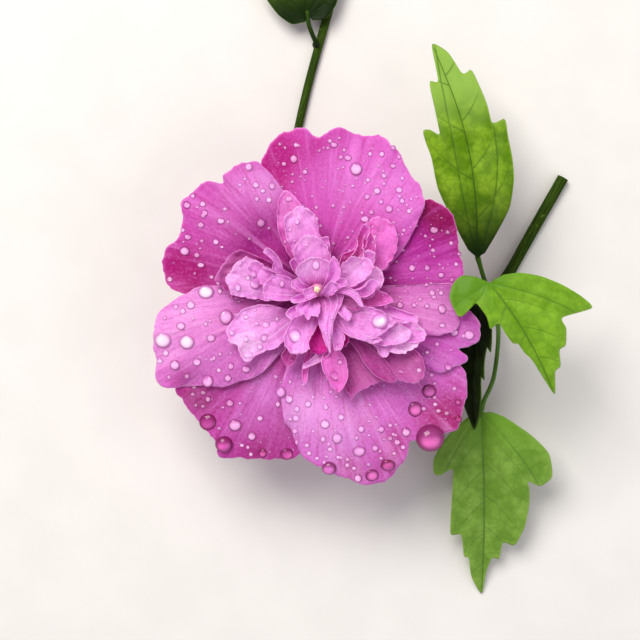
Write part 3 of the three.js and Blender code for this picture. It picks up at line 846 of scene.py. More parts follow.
@dataclass(frozen=True)
class GuardPetal:
    """One of the eight broad outer petals.

    rim is bearing and radius pairs in order of bearing, levels its layer at the first and last of them.
    bulges raise it and hollows are bulges below zero, in millimetres.
    """

    name: str
    claw: float
    levels: tuple[float, float]
    rim: Pairs
    finish: PetalFinish
    # Spots that deepen it, lighten it and paint shade on it in its throat colour; the deepening and lightening ones are
    # partly its own colour and partly painted shade and painted light.
    blush_and_shade: tuple[Spot, ...] = ()
    pale: tuple[Spot, ...] = ()
    bulges: tuple[Spot, ...] = ()
    shade: tuple[Spot, ...] = ()
    ruffle: float = 0.8
    seed: int = 1
    wet: float = 0.25  # how thickly the fine rain lies on it
    funnel: Funnel = Funnel()
    claw_half_angle: float = 9
    thickness: float = 0.36
    rim_thickness: float = 0.15
    columns: int = 121
    rows: int = 73

    def surface(self) -> tuple[np.ndarray, np.ndarray, np.ndarray]:
        """The petal's middle surface.

        Returns:
            Its grid of points, and for each how far across and how far out it is, from 0 to 1.
        """
        bearings, radii = np.array(self.rim).T
        shares = (bearings - bearings[0]) / (bearings[-1] - bearings[0])
        rim = smooth_line(np.column_stack([heading(bearings) * radii[:, None], shares]), self.columns)
        length = np.linalg.norm(np.diff(rim[:, :2], axis=0), axis=1).sum()
        across = np.linspace(0, 1, self.columns)
        place = across * length
        claw = heading(self.claw + (2 * across - 1) * self.claw_half_angle) * self.funnel.claw_radius
        out = np.linspace(0, 1, self.rows)[:, None] ** 1.2
        fray = 0.45 * rough(place / 3.5, 0.0, self.seed) + 0.2 * rough(place / 1.1, 0.0, self.seed + 1)
        tip = rim[:, :2] + unit(rim[:, :2]) * fray[:, None]
        flat = claw + (tip - claw) * out[..., None]
        level = self.levels[0] + (self.levels[1] - self.levels[0]) * rim[:, 2]
        z = self.funnel.height(flat, level)
        sides = np.sin(np.pi * across) ** 0.5
        swell = 0.7 * rough(flat[..., 0] / 14, flat[..., 1] / 14, self.seed + 2) * out**2
        ruffle = self.ruffle * rough(place / 8, out * 1.5, self.seed + 3) * out**4
        crinkle = 0.45 * self.ruffle * rough(place / 2.6, out * 4, self.seed + 4) * out**10
        pleats = 0.12 * rough(place / 2.2, out * 2, self.seed + 5) * np.sin(np.pi * out)
        z = z + (swell + ruffle + crinkle + pleats) * sides
        grid = np.concatenate([flat, z[..., None]], axis=-1)
        grid[..., 2] += marked(grid, self.bulges)
        return grid, np.broadcast_to(across, z.shape), np.broadcast_to(out, z.shape)

    def shape(self) -> Shape:
        """The closed petal, with its deeper and paler spots, its painted shade and light, and where it ends."""
        grid, across, out = self.surface()
        edge = np.maximum(out**6, np.abs(2 * across - 1) ** 12)
        thickness = self.thickness + (self.rim_thickness - self.thickness) * edge
        marks = {"edge": edge, **tinted(grid, self)}
        return thin_sheet(grid, thickness, np.stack([across, out], axis=-1), marks)


GUARD_PETALS = (
    GuardPetal(
        "petal_top",
        72,
        (1.2, 0),
        (
            (16, 18), (26, 24), (36, 32.3), (41, 35.3), (47, 36.6), (55, 38.2), (61, 40.1), (66, 41.2),
            (73, 40.1), (80, 40.6), (85, 39.9), (89.6, 37.5), (94, 40.1), (100, 40.3), (106, 38.9),
            (113, 34.8), (119, 28), (124, 18),
        ),
        PetalFinish("fresh petal, top", "#8a2076", "#c656b6", "#ab1f80", "#e086d8", "#d667b4", 0.2),
        blush_and_shade=(
            Spot((282, 150), 30, 0.9), Spot((272, 175), 22, 0.7), Spot((345, 136), 20, 0.4),
            Spot((318, 146), 9, 0.6),
        ),
        pale=(Spot((352, 182), 34, 0.6), Spot((400, 195), 26, 0.8)),
        bulges=(Spot((345, 160), 30, 1.2), Spot((280, 170), 20, -0.8)),
        ruffle=1.2,
        seed=11,
        wet=0.9,
    ),
    GuardPetal(
        "petal_upper_left",
        135,
        (1.3, 0),
        (
            (104, 15), (107, 23.5), (114, 34.1), (120, 36.5), (129, 36.8), (131.6, 35.6), (136, 38.7),
            (143, 39.7), (148, 39.9), (154, 37.3), (160, 37.1), (165, 39.3), (173, 38.8), (179, 36.8),
            (183, 30), (186, 18),
        ),
        PetalFinish("fresh petal, upper left", "#982284", "#bc4ca8", "#9a0a6a", "#d888d2", "#cc66b0"),
        blush_and_shade=(Spot((188, 280), 30, 0.9), Spot((168, 262), 16, 0.5)),
        pale=(Spot((270, 190), 22, 0.8), Spot((250, 180), 18, 0.5), Spot((225, 212), 26, 0.3)),
        shade=(Spot((262, 240), 26, 0.7), Spot((245, 252), 18, 0.4)),
        bulges=(Spot((260, 240), 18, -1.4), Spot((265, 195), 24, 1.0)),
        seed=23,
    ),
    GuardPetal(
        "petal_left",
        187,
        (1.2, 1.2),
        (
            (176, 16), (178, 28), (181, 32), (184, 35.6), (187.5, 39.6), (194, 41.7), (200, 43.2),
            (204.5, 44.2), (207.5, 46.2), (211.5, 46.3), (214.5, 43.4), (218, 38.9), (224, 35),
            (230, 30.2), (236, 25), (241, 17),
        ),
        PetalFinish("fresh petal, left", "#8a2276", "#cf72c4", "#a84292", "#eca4e2", "#e094d4", 0.25),
        blush_and_shade=(Spot((182, 380), 16, 0.9), Spot((232, 374), 20, 0.4)),
        pale=(Spot((195, 315), 34, 0.6), Spot((166, 345), 18, 0.6)),
        shade=(Spot((242, 302), 14, 0.3),),
        bulges=(Spot((200, 320), 34, 1.2), Spot((185, 385), 12, -0.8)),
        seed=31,
    ),
    GuardPetal(
        "petal_lower_left",
        238,
        (0, 0),
        (
            (203, 20), (208, 35), (214, 43), (219, 43.9), (227, 44.6), (232, 45.2), (236.5, 46.4),
            (239.5, 48.8), (245.5, 46.7), (254.5, 44.3), (261, 43), (265, 40.5), (269, 33), (272, 20),
        ),
        PetalFinish("fresh petal, lower left", "#84186e", "#b23c9a", "#801a58", "#d684d4", "#bc4c9c", streaks=0.22),
        blush_and_shade=(Spot((192, 402), 22, 0.9), Spot((258, 455), 20, 0.7), Spot((285, 432), 14, 0.4)),
        pale=(Spot((268, 390), 20, 0.8), Spot((243, 420), 22, 0.35), Spot((280, 428), 18, 0.25)),
        shade=(Spot((262, 374), 12, 0.5),),
        seed=43,
    ),
    GuardPetal(
        "petal_bottom",
        288,
        (1.35, 0),
        (
            (247, 15), (249.5, 25), (252, 29), (256, 33.5), (261.5, 38), (265, 42), (272, 45),
            (278.5, 48), (284, 50.7), (289, 51.6), (293, 50.2), (297.5, 47.9), (301.5, 45.3), (306, 46.5),
            (311.5, 48.3), (315.5, 50), (320, 47.8), (325, 45.8), (331.5, 42), (334.5, 33), (336, 18),
        ),
        PetalFinish("fresh petal, bottom", "#8c2080", "#ce6cc6", "#a0246e", "#e8a4e6", "#c45ca8", 0.28),
        blush_and_shade=(
            Spot((455, 425), 32, 1.0), Spot((440, 398), 22, 0.2), Spot((390, 465), 14, 0.7),
            Spot((394, 440), 16, 0.5), Spot((350, 473), 16, 0.6),
        ),
        pale=(Spot((335, 425), 32, 0.6), Spot((300, 410), 22, 0.7)),
        shade=(Spot((350, 394), 14, 0.15), Spot((380, 392), 14, 0.2)),
        bulges=(Spot((335, 420), 36, 1.6), Spot((392, 458), 12, 1.0), Spot((418, 412), 14, -1.0)),
        ruffle=1.1,
        seed=57,
        wet=0.6,
    ),
    GuardPetal(
        "petal_lower_right",
        323,
        (1.3, 0.4),
        (
            (317.5, 16), (321, 27), (324.5, 34), (327, 37.7), (330, 39.2), (333, 41), (336, 41.6),
            (337.4, 38.6), (339.5, 40.6), (342, 42), (345.5, 42.4), (350, 40.6), (353, 37), (353.5, 28),
            (352.5, 16),
        ),
        PetalFinish("fresh petal, lower right", "#7a1470", "#be4fb2", "#9c2086", "#d680ce", "#dea4d4"),
        blush_and_shade=(Spot((478, 332), 10, 0.8), Spot((425, 352), 14, 0.4)),
        pale=(Spot((444, 362), 18, 0.4), Spot((468, 334), 12, 0.8)),
        seed=61,
        wet=0.6,
    ),
    GuardPetal(
        "petal_right",
        353,
        (2, 1.2),
        (
            (334.5, 16), (335.5, 24), (338.5, 31), (341, 33.6), (344, 35.7), (348, 36), (352, 34.9),
            (355, 33.4), (358, 32.9), (362.5, 33.3), (362.7, 27), (363.1, 20), (365, 12),
        ),
        PetalFinish("fresh petal, right", "#8a0f68", "#c465b4", "#aa3090", "#e096d4", "#d488c2", 0.35),
        pale=(Spot((430, 310), 26, 0.4),),
        shade=(Spot((385, 300), 14, 0.5),),
        seed=71,
        wet=0.8,
    ),
    GuardPetal(
        "petal_upper_right",
        384,
        (0, 0),
        (
            (358, 14), (358.5, 26), (359.5, 34), (364, 36.4), (370, 37), (375, 36.8), (380, 37.4),
            (386, 38.4), (391, 38.4), (396, 37), (400, 34.6), (405, 27), (409, 16),
        ),
        PetalFinish("fresh petal, upper right", "#700652", "#a41690", "#820050", "#c455b6", "#b01c74"),
        blush_and_shade=(Spot((450, 215), 26, 1.1), Spot((464, 250), 12, 0.6), Spot((430, 205), 16, 0.9)),
        pale=(Spot((446, 275), 24, 0.65), Spot((408, 270), 18, 0.7)),
        shade=(Spot((388, 285), 16, 0.6),),
        seed=83,
        wet=0.8,
    ),
)


# ---- Petaloids ----


@dataclass(frozen=True)
class Petaloid:
    """A frilled, petal-like stamen of the double bloom.

    It leaves the column at a bearing and a height, the seat. first and last are its two sides from there
    to its tip and edge is its far end from one to the other, all placed by where they show.
    """

    name: str
    bearing: float
    seat: float
    tip: float  # height of its far end
    first: Pairs
    edge: Pairs
    last: Pairs
    finish: PetalFinish
    arch: float = 0  # how far it bows up on the way
    cup: float = 0.5  # how far its sides rise
    tilt: float = 0  # how far its last side rises above its first
    curl: float = 0.6  # how far its margin turns up
    frill: float = 0.8  # how far its margin waves
    ragged: float = 0.5  # depth of the nicks in its margin
    crumple: float = 0.32
    crease: float = 0.3  # depth of the fold along its middle
    wet: float = 0.2  # how thickly the fine rain lies on it
    # Spots that deepen it, lighten it and paint shade on it in its throat colour; the deepening and lightening ones are
    # partly its own colour and partly painted shade and painted light.
    blush_and_shade: tuple[Spot, ...] = ()
    pale: tuple[Spot, ...] = ()
    shade: tuple[Spot, ...] = ()
    seed: int = 1
    foot_radius: float = 1.9
    foot_half: float = 0.7
    thickness: float = 0.28
    rim_thickness: float = 0.13
    columns: int = 45
    rows: int = 57

    def flat(self, across: np.ndarray, out: np.ndarray) -> np.ndarray:
        """Fills the outline from its four sides.

        Args:
            across: Shares of the way from its first side to its last.
            out: Shares of the way from its foot to its far end.

        Returns:
            A grid of flat positions.
        """
        foot = heading(self.bearing) * self.foot_radius
        aside = heading(self.bearing + 90) * self.foot_half
        feet = [foot - aside, foot + aside]
        first = OUTLOOK.flat(self.first, self.tip)
        last = OUTLOOK.flat(self.last, self.tip)
        if np.linalg.norm(first[0] - feet[0]) > np.linalg.norm(first[0] - feet[1]):
            feet.reverse()
        sides = [smooth_line(np.vstack([f, s]), self.rows) for f, s in zip(feet, (first, last))]
        far = smooth_line(OUTLOOK.flat(self.edge, self.tip), self.columns)
        near = feet[0] + (feet[1] - feet[0]) * across[:, None]
        u, v = across[None, :, None], out[:, None, None]
        grid = (1 - v) * near + v * far + (1 - u) * sides[0][:, None] + u * sides[1][:, None]
        return grid - (1 - v) * ((1 - u) * feet[0] + u * feet[1]) - v * ((1 - u) * far[0] + u * far[-1])

    def shape(self) -> Shape:
        """The closed petaloid, raised along a bowed line, folded, crumpled and frilled."""
        out, across = np.linspace(0, 1, self.rows), np.linspace(0, 1, self.columns)
        flat = self.flat(across, out)
        spread, out = 2 * across[None] - 1, out[:, None]
        edge = np.maximum(np.abs(spread) ** 4, out**6)
        x, y = flat[..., 0], flat[..., 1]
        growth = smoothstep(out, 0.1, 0.6)
        nicks = np.clip(rough(x / 1.1, y / 1.1, self.seed) + 0.4 * rough(x / 0.45, y / 0.45, self.seed), 0, 1)
        inward = unit(flat.mean(axis=(0, 1)) - flat)
        flat = flat + inward * (self.ragged * nicks * edge**2 * growth)[..., None]
        bow = self.seat + (self.tip - self.seat) * 0.8 + self.arch
        z = (1 - out) ** 2 * self.seat + 2 * out * (1 - out) * bow + out**2 * self.tip
        z = z + (self.cup * spread**2 + self.tilt * spread / 2) * out
        z = z - self.crease * np.exp(-((spread / 0.16) ** 2)) * np.sin(np.pi * out)
        z = z + self.curl * smoothstep(edge, 0.3, 1) ** 2 * growth
        wave = rough(x / 2.6, y / 2.6, self.seed + 1) * edge**0.7
        wave = wave + 0.5 * rough(x / 1.2, y / 1.2, self.seed + 2) * edge
        fold = rough(x / 3.4, y / 3.4, self.seed + 3) + 0.35 * rough(x / 1.3, y / 1.3, self.seed + 4)
        folds = (self.frill * wave + self.crumple * fold) * growth
        z = z + folds
        points = np.concatenate([flat, z[..., None]], axis=-1)
        if grid_normals(points)[..., 2].mean() < 0:
            points, edge, folds = points[:, ::-1], edge[:, ::-1], folds[:, ::-1]
        thickness = self.thickness + (self.rim_thickness - self.thickness) * edge
        uv = np.stack(np.meshgrid(across, out[:, 0]), axis=-1)
        marks = tinted(points, self)
        # Painted shade: the hollows of its folds and crumples are deepened in colour.
        marks["blush_and_shade"] = marks["blush_and_shade"] + 0.25 * smoothstep(-folds, 0.1, 0.6)
        return thin_sheet(points, thickness, uv, {"edge": edge, **marks})


BLUSHED = PetalFinish(
    "petaloid, pale rose", "#962080", "#e896e4", "#bc4c9c", "#fccafa", "#fbb8f2", 0.3, 0.5, 0.3, 16, line=0.35, glow=0.1
)
CORAL = PetalFinish(
    "petaloid, coral", "#8a1468", "#e47ad2", "#b8307c", "#f4a0e6", "#f59ae2", 0.25, 0.4, 0.2, 16, line=0.35, glow=0.1
)
DUSTY = PetalFinish(
    "petaloid, dusty rose", "#6d0a50", "#ac4594", "#8a206c", "#cc78b8", "#c86cb4", 0.3, 0.4, 0.2, 16, line=0.3
)

DEEP_ROSE = PetalFinish(
    "petaloid, deep rose", "#8c0468", "#c4188e", "#9c0470", "#d858b4", "#e070c0", 0.2, 0.4, 0.2, 16, line=0.2
)

PETALOIDS = (
    Petaloid(
        "crown_back", 112, 28, 36.4,
        ((293, 262), (281, 240), (277, 220), (278, 200)),
        ((278, 200), (281, 193), (287, 191), (295, 197), (302, 206)),
        ((312, 262), (309, 235), (306, 218), (302, 206)),
        CORAL, seed=101, pale=(Spot((290, 214), 18, 0.8),),
    ),
    Petaloid(
        "crown_middle", 100, 30.6, 39,
        ((300, 268), (291, 250), (285, 233), (284, 218)),
        ((284, 218), (289, 213), (300, 206), (311, 211), (315, 215)),
        ((322, 268), (323, 248), (319, 228), (315, 215)),
        BLUSHED, seed=103, cup=0.9, pale=(Spot((300, 225), 18, 0.3),),
    ),
    Petaloid(
        "crown_front", 92, 33.6, 42,
        ((305, 275), (296, 262), (293, 250)),
        ((293, 250), (297, 243), (303, 237), (311, 235), (320, 239), (327, 246), (330, 252)),
        ((326, 275), (331, 264), (330, 252)),
        BLUSHED, seed=107, cup=-0.8, frill=0.3, pale=(Spot((312, 248), 16, 0.35),),
    ),
    Petaloid(
        "spoon", 97, 37.4, 45.2,
        ((306, 286), (298, 278), (296, 270), (300, 264)),
        ((300, 264), (305, 260), (312, 257), (322, 258), (329, 262)),
        ((323, 284), (329, 275), (329, 262)),
        BLUSHED, seed=109, cup=1.2, frill=0.25, pale=(Spot((308, 268), 14, 0.5),),
    ),
    Petaloid(
        "curl", 146, 32, 41,
        ((299, 278), (284, 270), (281, 262), (276, 254), (270, 249)),
        ((270, 249), (266, 248), (263, 252)),
        ((297, 283), (280, 275), (272, 270), (273, 261), (263, 252)),
        BLUSHED, seed=113, tilt=-2, frill=0.3,
    ),
    Petaloid(
        "left_outer", 168, 29.6, 37.4,
        ((293, 278), (270, 268), (258, 261), (246, 256)),
        ((246, 256), (236, 263), (230, 271), (225, 278), (228, 286), (231, 295)),
        ((293, 298), (270, 301), (252, 299), (240, 297), (231, 295)),
        BLUSHED, foot_half=1.5, seed=127, cup=-0.8, pale=(Spot((245, 272), 18, 0.4),),
    ),
    Petaloid(
        "left_inner", 176, 34, 41.6,
        ((304, 287), (297, 283), (288, 277), (275, 274)),
        ((275, 274), (269, 278), (263, 287), (264, 298)),
        ((302, 296), (291, 300), (278, 301), (264, 298)),
        BLUSHED, seed=131, cup=-0.5, frill=0.3,
    ),
    Petaloid(
        "lower_left", 212, 30.4, 36.6,
        ((305, 301), (290, 309), (276, 306), (264, 304), (252, 306), (241, 310)),
        ((241, 310), (234, 318), (228, 327), (226, 333), (230, 343), (237, 345), (239, 352), (243, 360), (250, 363)),
        ((302, 314), (290, 332), (280, 346), (264, 352), (254, 357), (250, 363)),
        BLUSHED, foot_half=1.5, seed=137, cup=-1.0, pale=(Spot((250, 325), 22, 0.3), Spot((248, 347), 12, 0.6)),
    ),
    Petaloid(
        "low_centre", 246, 34.4, 41.4,
        ((308, 300), (297, 311), (289, 325), (283, 338)),
        ((283, 338), (285, 347), (290, 353), (298, 355), (310, 350)),
        ((317, 304), (319, 320), (313, 334), (309, 342), (310, 350)),
        BLUSHED, seed=139, frill=0.6, blush_and_shade=(Spot((318, 340), 9, 0.9),),
    ),
    Petaloid(
        "frill", 240, 38, 44,
        ((309, 298), (301, 302), (296, 307), (297, 312)),
        ((297, 312), (300, 316), (304, 314), (308, 320), (313, 316), (318, 317)),
        ((317, 298), (320, 304), (320, 311), (318, 317)),
        BLUSHED, seed=149, frill=0.7,
    ),
    Petaloid(
        "hook", 266, 31, 38,
        ((316, 310), (318, 325), (321, 340), (316, 354), (303, 365)),
        ((303, 365), (302, 367), (303, 369)),
        ((323, 310), (328, 325), (331, 342), (326, 358), (303, 369)),
        BLUSHED, seed=151, frill=0.5, pale=(Spot((314, 359), 10, 0.7),),
    ),
    Petaloid(
        "keel", 300, 38.4, 44,
        ((317, 298), (317, 310), (319, 325), (324, 340), (329, 352)),
        ((329, 352), (330, 353), (331, 352)),
        ((338, 288), (344, 292), (342, 303), (335, 318), (332, 335), (331, 352)),
        BLUSHED, seed=157, arch=1.6, cup=-1.6, frill=0.5, crease=0.5,
    ),
    Petaloid(
        "arch", 345, 39.4, 43.8,
        ((330, 285), (346, 287), (357, 292), (363, 304)),
        ((363, 304), (363, 307), (360, 307)),
        ((332, 292), (345, 294), (354, 299), (360, 307)),
        BLUSHED, seed=163, arch=1.8, frill=0.4, cup=-0.8,
    ),
    Petaloid(
        "right_1", 338, 34.6, 42.2,
        ((325, 306), (334, 322), (348, 336), (360, 340), (372, 344)),
        ((372, 344), (376, 339), (382, 335), (390, 328), (398, 322), (390, 316)),
        ((336, 300), (350, 307), (364, 306), (378, 309), (390, 316)),
        BLUSHED, foot_half=1.5, seed=167, cup=-1.0, shade=(Spot((358, 318), 14, 0.35),),
    ),
    Petaloid(
        "right_2", 334, 32.2, 40,
        ((330, 312), (350, 333), (372, 343), (388, 346), (402, 343)),
        ((402, 343), (409, 339), (411, 331), (400, 324)),
        ((342, 302), (370, 310), (388, 316), (400, 324)),
        BLUSHED, foot_half=1.5, seed=173, frill=0.6, pale=(Spot((400, 333), 12, 0.6),),
    ),
    Petaloid(
        "right_3", 334, 30.1, 38.6,
        ((332, 314), (356, 335), (378, 348), (394, 353), (405, 354)),
        ((405, 354), (412, 350), (419, 345), (425, 338), (424, 331), (417, 326)),
        ((345, 302), (380, 312), (400, 319), (417, 326)),
        BLUSHED, foot_half=1.5, seed=179, frill=0.7, pale=(Spot((408, 344), 20, 1.2),),
    ),
    Petaloid(
        "right_4", 359, 29, 37,
        ((342, 299), (370, 308), (395, 320), (414, 326)),
        ((414, 326), (419, 320), (415, 315), (408, 313)),
        ((342, 293), (370, 299), (393, 307), (408, 313)),
        BLUSHED, seed=181, frill=0.5,
    ),
    Petaloid(
        "coral", 52, 29, 37.4,
        ((340, 285), (368, 279), (386, 268), (396, 252), (398, 237)),
        ((398, 237), (393, 224), (381, 217), (370, 219), (363, 227)),
        ((332, 277), (346, 262), (356, 250), (361, 240), (363, 227)),
        CORAL, seed=191, frill=0.8, tilt=1.2, curl=0.3, crumple=0.3, ragged=0.6,
    ),
    Petaloid(
        "tuft_1", 44, 34, 41.8,
        ((334, 288), (352, 287), (366, 279), (374, 267)),
        ((374, 267), (370, 260), (362, 257), (353, 256)),
        ((328, 280), (338, 270), (344, 261), (353, 256)),
        BLUSHED, seed=193, frill=0.8, cup=1.2, pale=(Spot((355, 270), 14, 0.6),),
    ),
    Petaloid(
        "tuft_2", 18, 31.2, 39.6,
        ((338, 296), (356, 301), (370, 298), (381, 288)),
        ((381, 288), (384, 278), (380, 269), (372, 265)),
        ((338, 287), (354, 281), (364, 272), (372, 265)),
        BLUSHED, seed=197, frill=0.8, cup=0.2, curl=0.3, pale=(Spot((372, 278), 14, 0.8),),
    ),
    Petaloid(
        "dusty_1", 299, 29.7, 37.4,
        ((328, 312), (345, 335), (358, 352), (366, 366), (376, 376), (386, 381)),
        ((386, 381), (393, 384), (397, 378)),
        ((336, 308), (365, 335), (381, 355), (390, 366), (397, 378)),
        DUSTY, seed=199, frill=0.25,
    ),
    Petaloid(
        "dusty_2", 318, 28.3, 36.8,
        ((334, 314), (370, 347), (385, 361), (391, 371), (396, 379)),
        ((396, 379), (404, 382), (416, 383), (423, 378), (425, 369)),
        ((342, 306), (380, 332), (408, 345), (421, 356), (425, 369)),
        DUSTY, seed=211, frill=0.25, pale=(Spot((408, 368), 16, 0.5),),
    ),
    Petaloid(
        "low_fold", 278, 27.4, 35.2,
        ((322, 318), (332, 345), (339, 370), (345, 388), (352, 400)),
        ((352, 400), (357, 393), (364, 389), (373, 385), (384, 380)),
        ((332, 314), (352, 343), (370, 364), (384, 380)),
        DUSTY, seed=223, frill=0.3, pale=(Spot((364, 390), 18, 0.25),),
    ),
    Petaloid(
        "low_spoon", 286, 32.8, 38.4,
        ((319, 315), (325, 345), (322, 357), (322, 367), (328, 380), (336, 391)),
        ((336, 391), (338, 393), (340, 391)),
        ((328, 314), (338, 346), (346, 360), (348, 375), (344, 386), (340, 391)),
        CORAL, seed=227, frill=0.2, cup=1.0, shade=(Spot((335, 370), 14, 0.25),),
    ),
)

BITS = (
    Petaloid(
        "mouth", 262, 33, 38.6,
        ((311, 318), (308, 335), (308, 345), (311, 352)),
        ((311, 352), (318, 355), (327, 352)),
        ((322, 318), (328, 335), (327, 352)),
        DEEP_ROSE, seed=563, curl=0.3,
    ),
    Petaloid(
        "mouth_right", 296, 33, 38.4,
        ((334, 316), (334, 332), (337, 345)),
        ((337, 345), (343, 348), (349, 342)),
        ((340, 314), (346, 328), (349, 342)),
        DEEP_ROSE, seed=569, curl=0.3,
    ),
    Petaloid(
        "keel_hood", 325, 40.6, 45,
        ((320, 296), (322, 290), (326, 285)),
        ((326, 285), (332, 281), (339, 285)),
        ((327, 297), (335, 293), (339, 285)),
        BLUSHED, seed=541, curl=0.9,
    ),
    Petaloid(
        "stigma_wrap", 200, 40.6, 44.4,
        ((314, 286), (308, 288), (303, 290)),
        ((303, 290), (303, 296), (309, 300)),
        ((317, 296), (313, 298), (309, 300)),
        BLUSHED, seed=547, curl=0.8,
    ),
    Petaloid(
        "coral_flap", 58, 33, 39.8,
        ((340, 272), (352, 256), (358, 246)),
        ((358, 246), (358, 236), (364, 224), (370, 228)),
        ((346, 275), (360, 260), (367, 244), (370, 228)),
        CORAL, seed=557, frill=1.2, curl=1.2, ragged=1.2, crumple=0.7,
    ),
    Petaloid(
        "arch_back", 340, 36.4, 40.6,
        ((330, 300), (342, 305), (350, 309)),
        ((350, 309), (355, 311), (363, 309)),
        ((338, 294), (352, 297), (363, 309)),
        DUSTY, seed=487, pale=(Spot((350, 303), 10, 0.7),),
    ),
    Petaloid(
        "coral_fold_1", 56, 31, 39.4,
        ((338, 280), (355, 262), (365, 250)),
        ((365, 250), (363, 243), (364, 236), (371, 232)),
        ((345, 282), (366, 264), (376, 248), (371, 232)),
        CORAL, seed=491, frill=1.2, curl=1.2, ragged=1.0,
    ),
    Petaloid(
        "coral_fold_2", 50, 31.6, 40,
        ((340, 283), (356, 268), (364, 258)),
        ((364, 258), (364, 252), (369, 250), (375, 253)),
        ((345, 285), (362, 276), (373, 266), (375, 253)),
        BLUSHED, seed=499, frill=1.0, curl=1.0, ragged=1.0,
    ),
    Petaloid(
        "throat_frill_1", 20, 40.4, 44,
        ((325, 287), (333, 283), (340, 278)),
        ((340, 278), (346, 279), (348, 285)),
        ((326, 291), (336, 291), (348, 285)),
        BLUSHED, seed=503, frill=1.0,
    ),
    Petaloid(
        "throat_frill_2", 150, 39.6, 43.2,
        ((311, 287), (303, 283), (298, 278)),
        ((298, 278), (292, 280), (291, 287)),
        ((311, 291), (301, 293), (291, 287)),
        BLUSHED, seed=509, frill=1.0,
    ),
    Petaloid(
        "throat_frill_3", 215, 38.4, 42.4,
        ((311, 296), (300, 303), (290, 308)),
        ((290, 308), (286, 314), (291, 320)),
        ((314, 300), (304, 312), (291, 320)),
        BLUSHED, seed=521, frill=1.0,
    ),
    Petaloid(
        "throat_frill_4", 318, 37.6, 41.6,
        ((322, 300), (334, 308), (342, 318)),
        ((342, 318), (349, 321), (352, 314)),
        ((326, 296), (340, 302), (352, 314)),
        BLUSHED, seed=523, frill=1.0,
    ),
    Petaloid(
        "crest_left", 190, 40.6, 43.6,
        ((312, 292), (303, 293), (296, 296)),
        ((296, 296), (290, 299), (293, 303), (300, 303)),
        ((313, 297), (306, 301), (300, 303)),
        BLUSHED, seed=401,
    ),
    Petaloid(
        "crest_right", 60, 40, 43.8,
        ((322, 288), (328, 275), (330, 262)),
        ((330, 262), (333, 256), (337, 260)),
        ((328, 290), (338, 280), (341, 270), (337, 260)),
        BLUSHED, seed=403, cup=1.2,
    ),
    Petaloid(
        "flag", 58, 33.6, 40.4,
        ((331, 283), (338, 268), (341, 257)),
        ((341, 257), (344, 253), (351, 250), (357, 248)),
        ((335, 284), (346, 268), (353, 259), (357, 248)),
        CORAL, seed=409, shade=(Spot((349, 260), 7, 1.0),),
    ),
    Petaloid(
        "scroll", 8, 35, 41.2,
        ((345, 290), (358, 290), (366, 286)),
        ((366, 286), (368, 281), (374, 279), (380, 283)),
        ((345, 296), (360, 298), (372, 294), (380, 283)),
        BLUSHED, seed=419, curl=1.1,
    ),
    Petaloid(
        "ledge", 352, 33, 38.6,
        ((342, 298), (360, 296), (372, 290)),
        ((372, 290), (382, 291), (390, 296), (394, 302)),
        ((345, 303), (365, 306), (380, 306), (394, 302)),
        CORAL, seed=421, shade=(Spot((376, 298), 12, 0.6),),
    ),
    Petaloid(
        "hood", 292, 33, 39.8,
        ((324, 310), (331, 330), (333, 345)),
        ((333, 345), (335, 350), (341, 350)),
        ((330, 308), (340, 328), (345, 338), (341, 350)),
        BLUSHED, seed=431, curl=1.0,
    ),
    Petaloid(
        "dangle", 258, 30, 36.6,
        ((308, 345), (304, 360), (302, 372), (303, 382)),
        ((303, 382), (305, 384), (307, 382)),
        ((313, 345), (310, 360), (308, 372), (307, 382)),
        CORAL, seed=433,
    ),
    Petaloid(
        "knob", 240, 31, 37.4,
        ((300, 330), (288, 345), (281, 355)),
        ((281, 355), (283, 363), (289, 366), (295, 362)),
        ((306, 330), (299, 348), (295, 362)),
        DUSTY, seed=439, curl=0.8,
    ),
    Petaloid(
        "right_scrap", 326, 31, 38.4,
        ((350, 325), (368, 338), (378, 348)),
        ((378, 348), (380, 355), (385, 358), (390, 352)),
        ((355, 322), (378, 333), (390, 345), (390, 352)),
        BLUSHED, seed=443, ragged=0.9,
    ),
    Petaloid(
        "right_lip", 330, 33.4, 40.8,
        ((338, 318), (346, 330), (354, 338)),
        ((354, 338), (362, 340), (372, 344), (384, 341)),
        ((345, 315), (365, 328), (384, 341)),
        BLUSHED, seed=449, ragged=0.9, frill=0.8,
    ),
    Petaloid(
        "right_lobe", 345, 30.6, 39.2,
        ((360, 312), (385, 318), (404, 324)),
        ((404, 324), (412, 322), (421, 326), (426, 334), (424, 341)),
        ((360, 322), (390, 334), (410, 343), (424, 341)),
        BLUSHED, seed=457, arch=0.6, ragged=0.8,
    ),
    Petaloid(
        "spoon_curl", 120, 37, 42,
        ((306, 284), (297, 275), (291, 269)),
        ((291, 269), (290, 262), (294, 258)),
        ((308, 278), (302, 268), (294, 258)),
        BLUSHED, seed=461, curl=0.9,
    ),
    Petaloid(
        "crown_curl", 78, 33, 40.6,
        ((320, 268), (322, 255), (320, 243)),
        ((320, 243), (322, 237), (328, 237)),
        ((326, 268), (331, 255), (328, 237)),
        BLUSHED, seed=463, curl=0.9,
    ),
    Petaloid(
        "left_fold", 162, 31, 38.8,
        ((290, 280), (275, 272), (262, 268)),
        ((262, 268), (256, 261), (250, 262), (247, 268)),
        ((290, 290), (272, 287), (256, 282), (247, 268)),
        BLUSHED, seed=467,
    ),
    Petaloid(
        "left_back", 165, 26.4, 35.8,
        ((292, 275), (270, 262), (252, 254), (240, 250)),
        ((240, 250), (230, 255), (222, 266), (214, 280)),
        ((292, 298), (260, 300), (235, 298), (214, 280)),
        DUSTY, seed=479, ragged=0.2, pale=(Spot((228, 268), 16, 0.8),),
    ),
)


# ---- Calyx, epicalyx, column and style ----


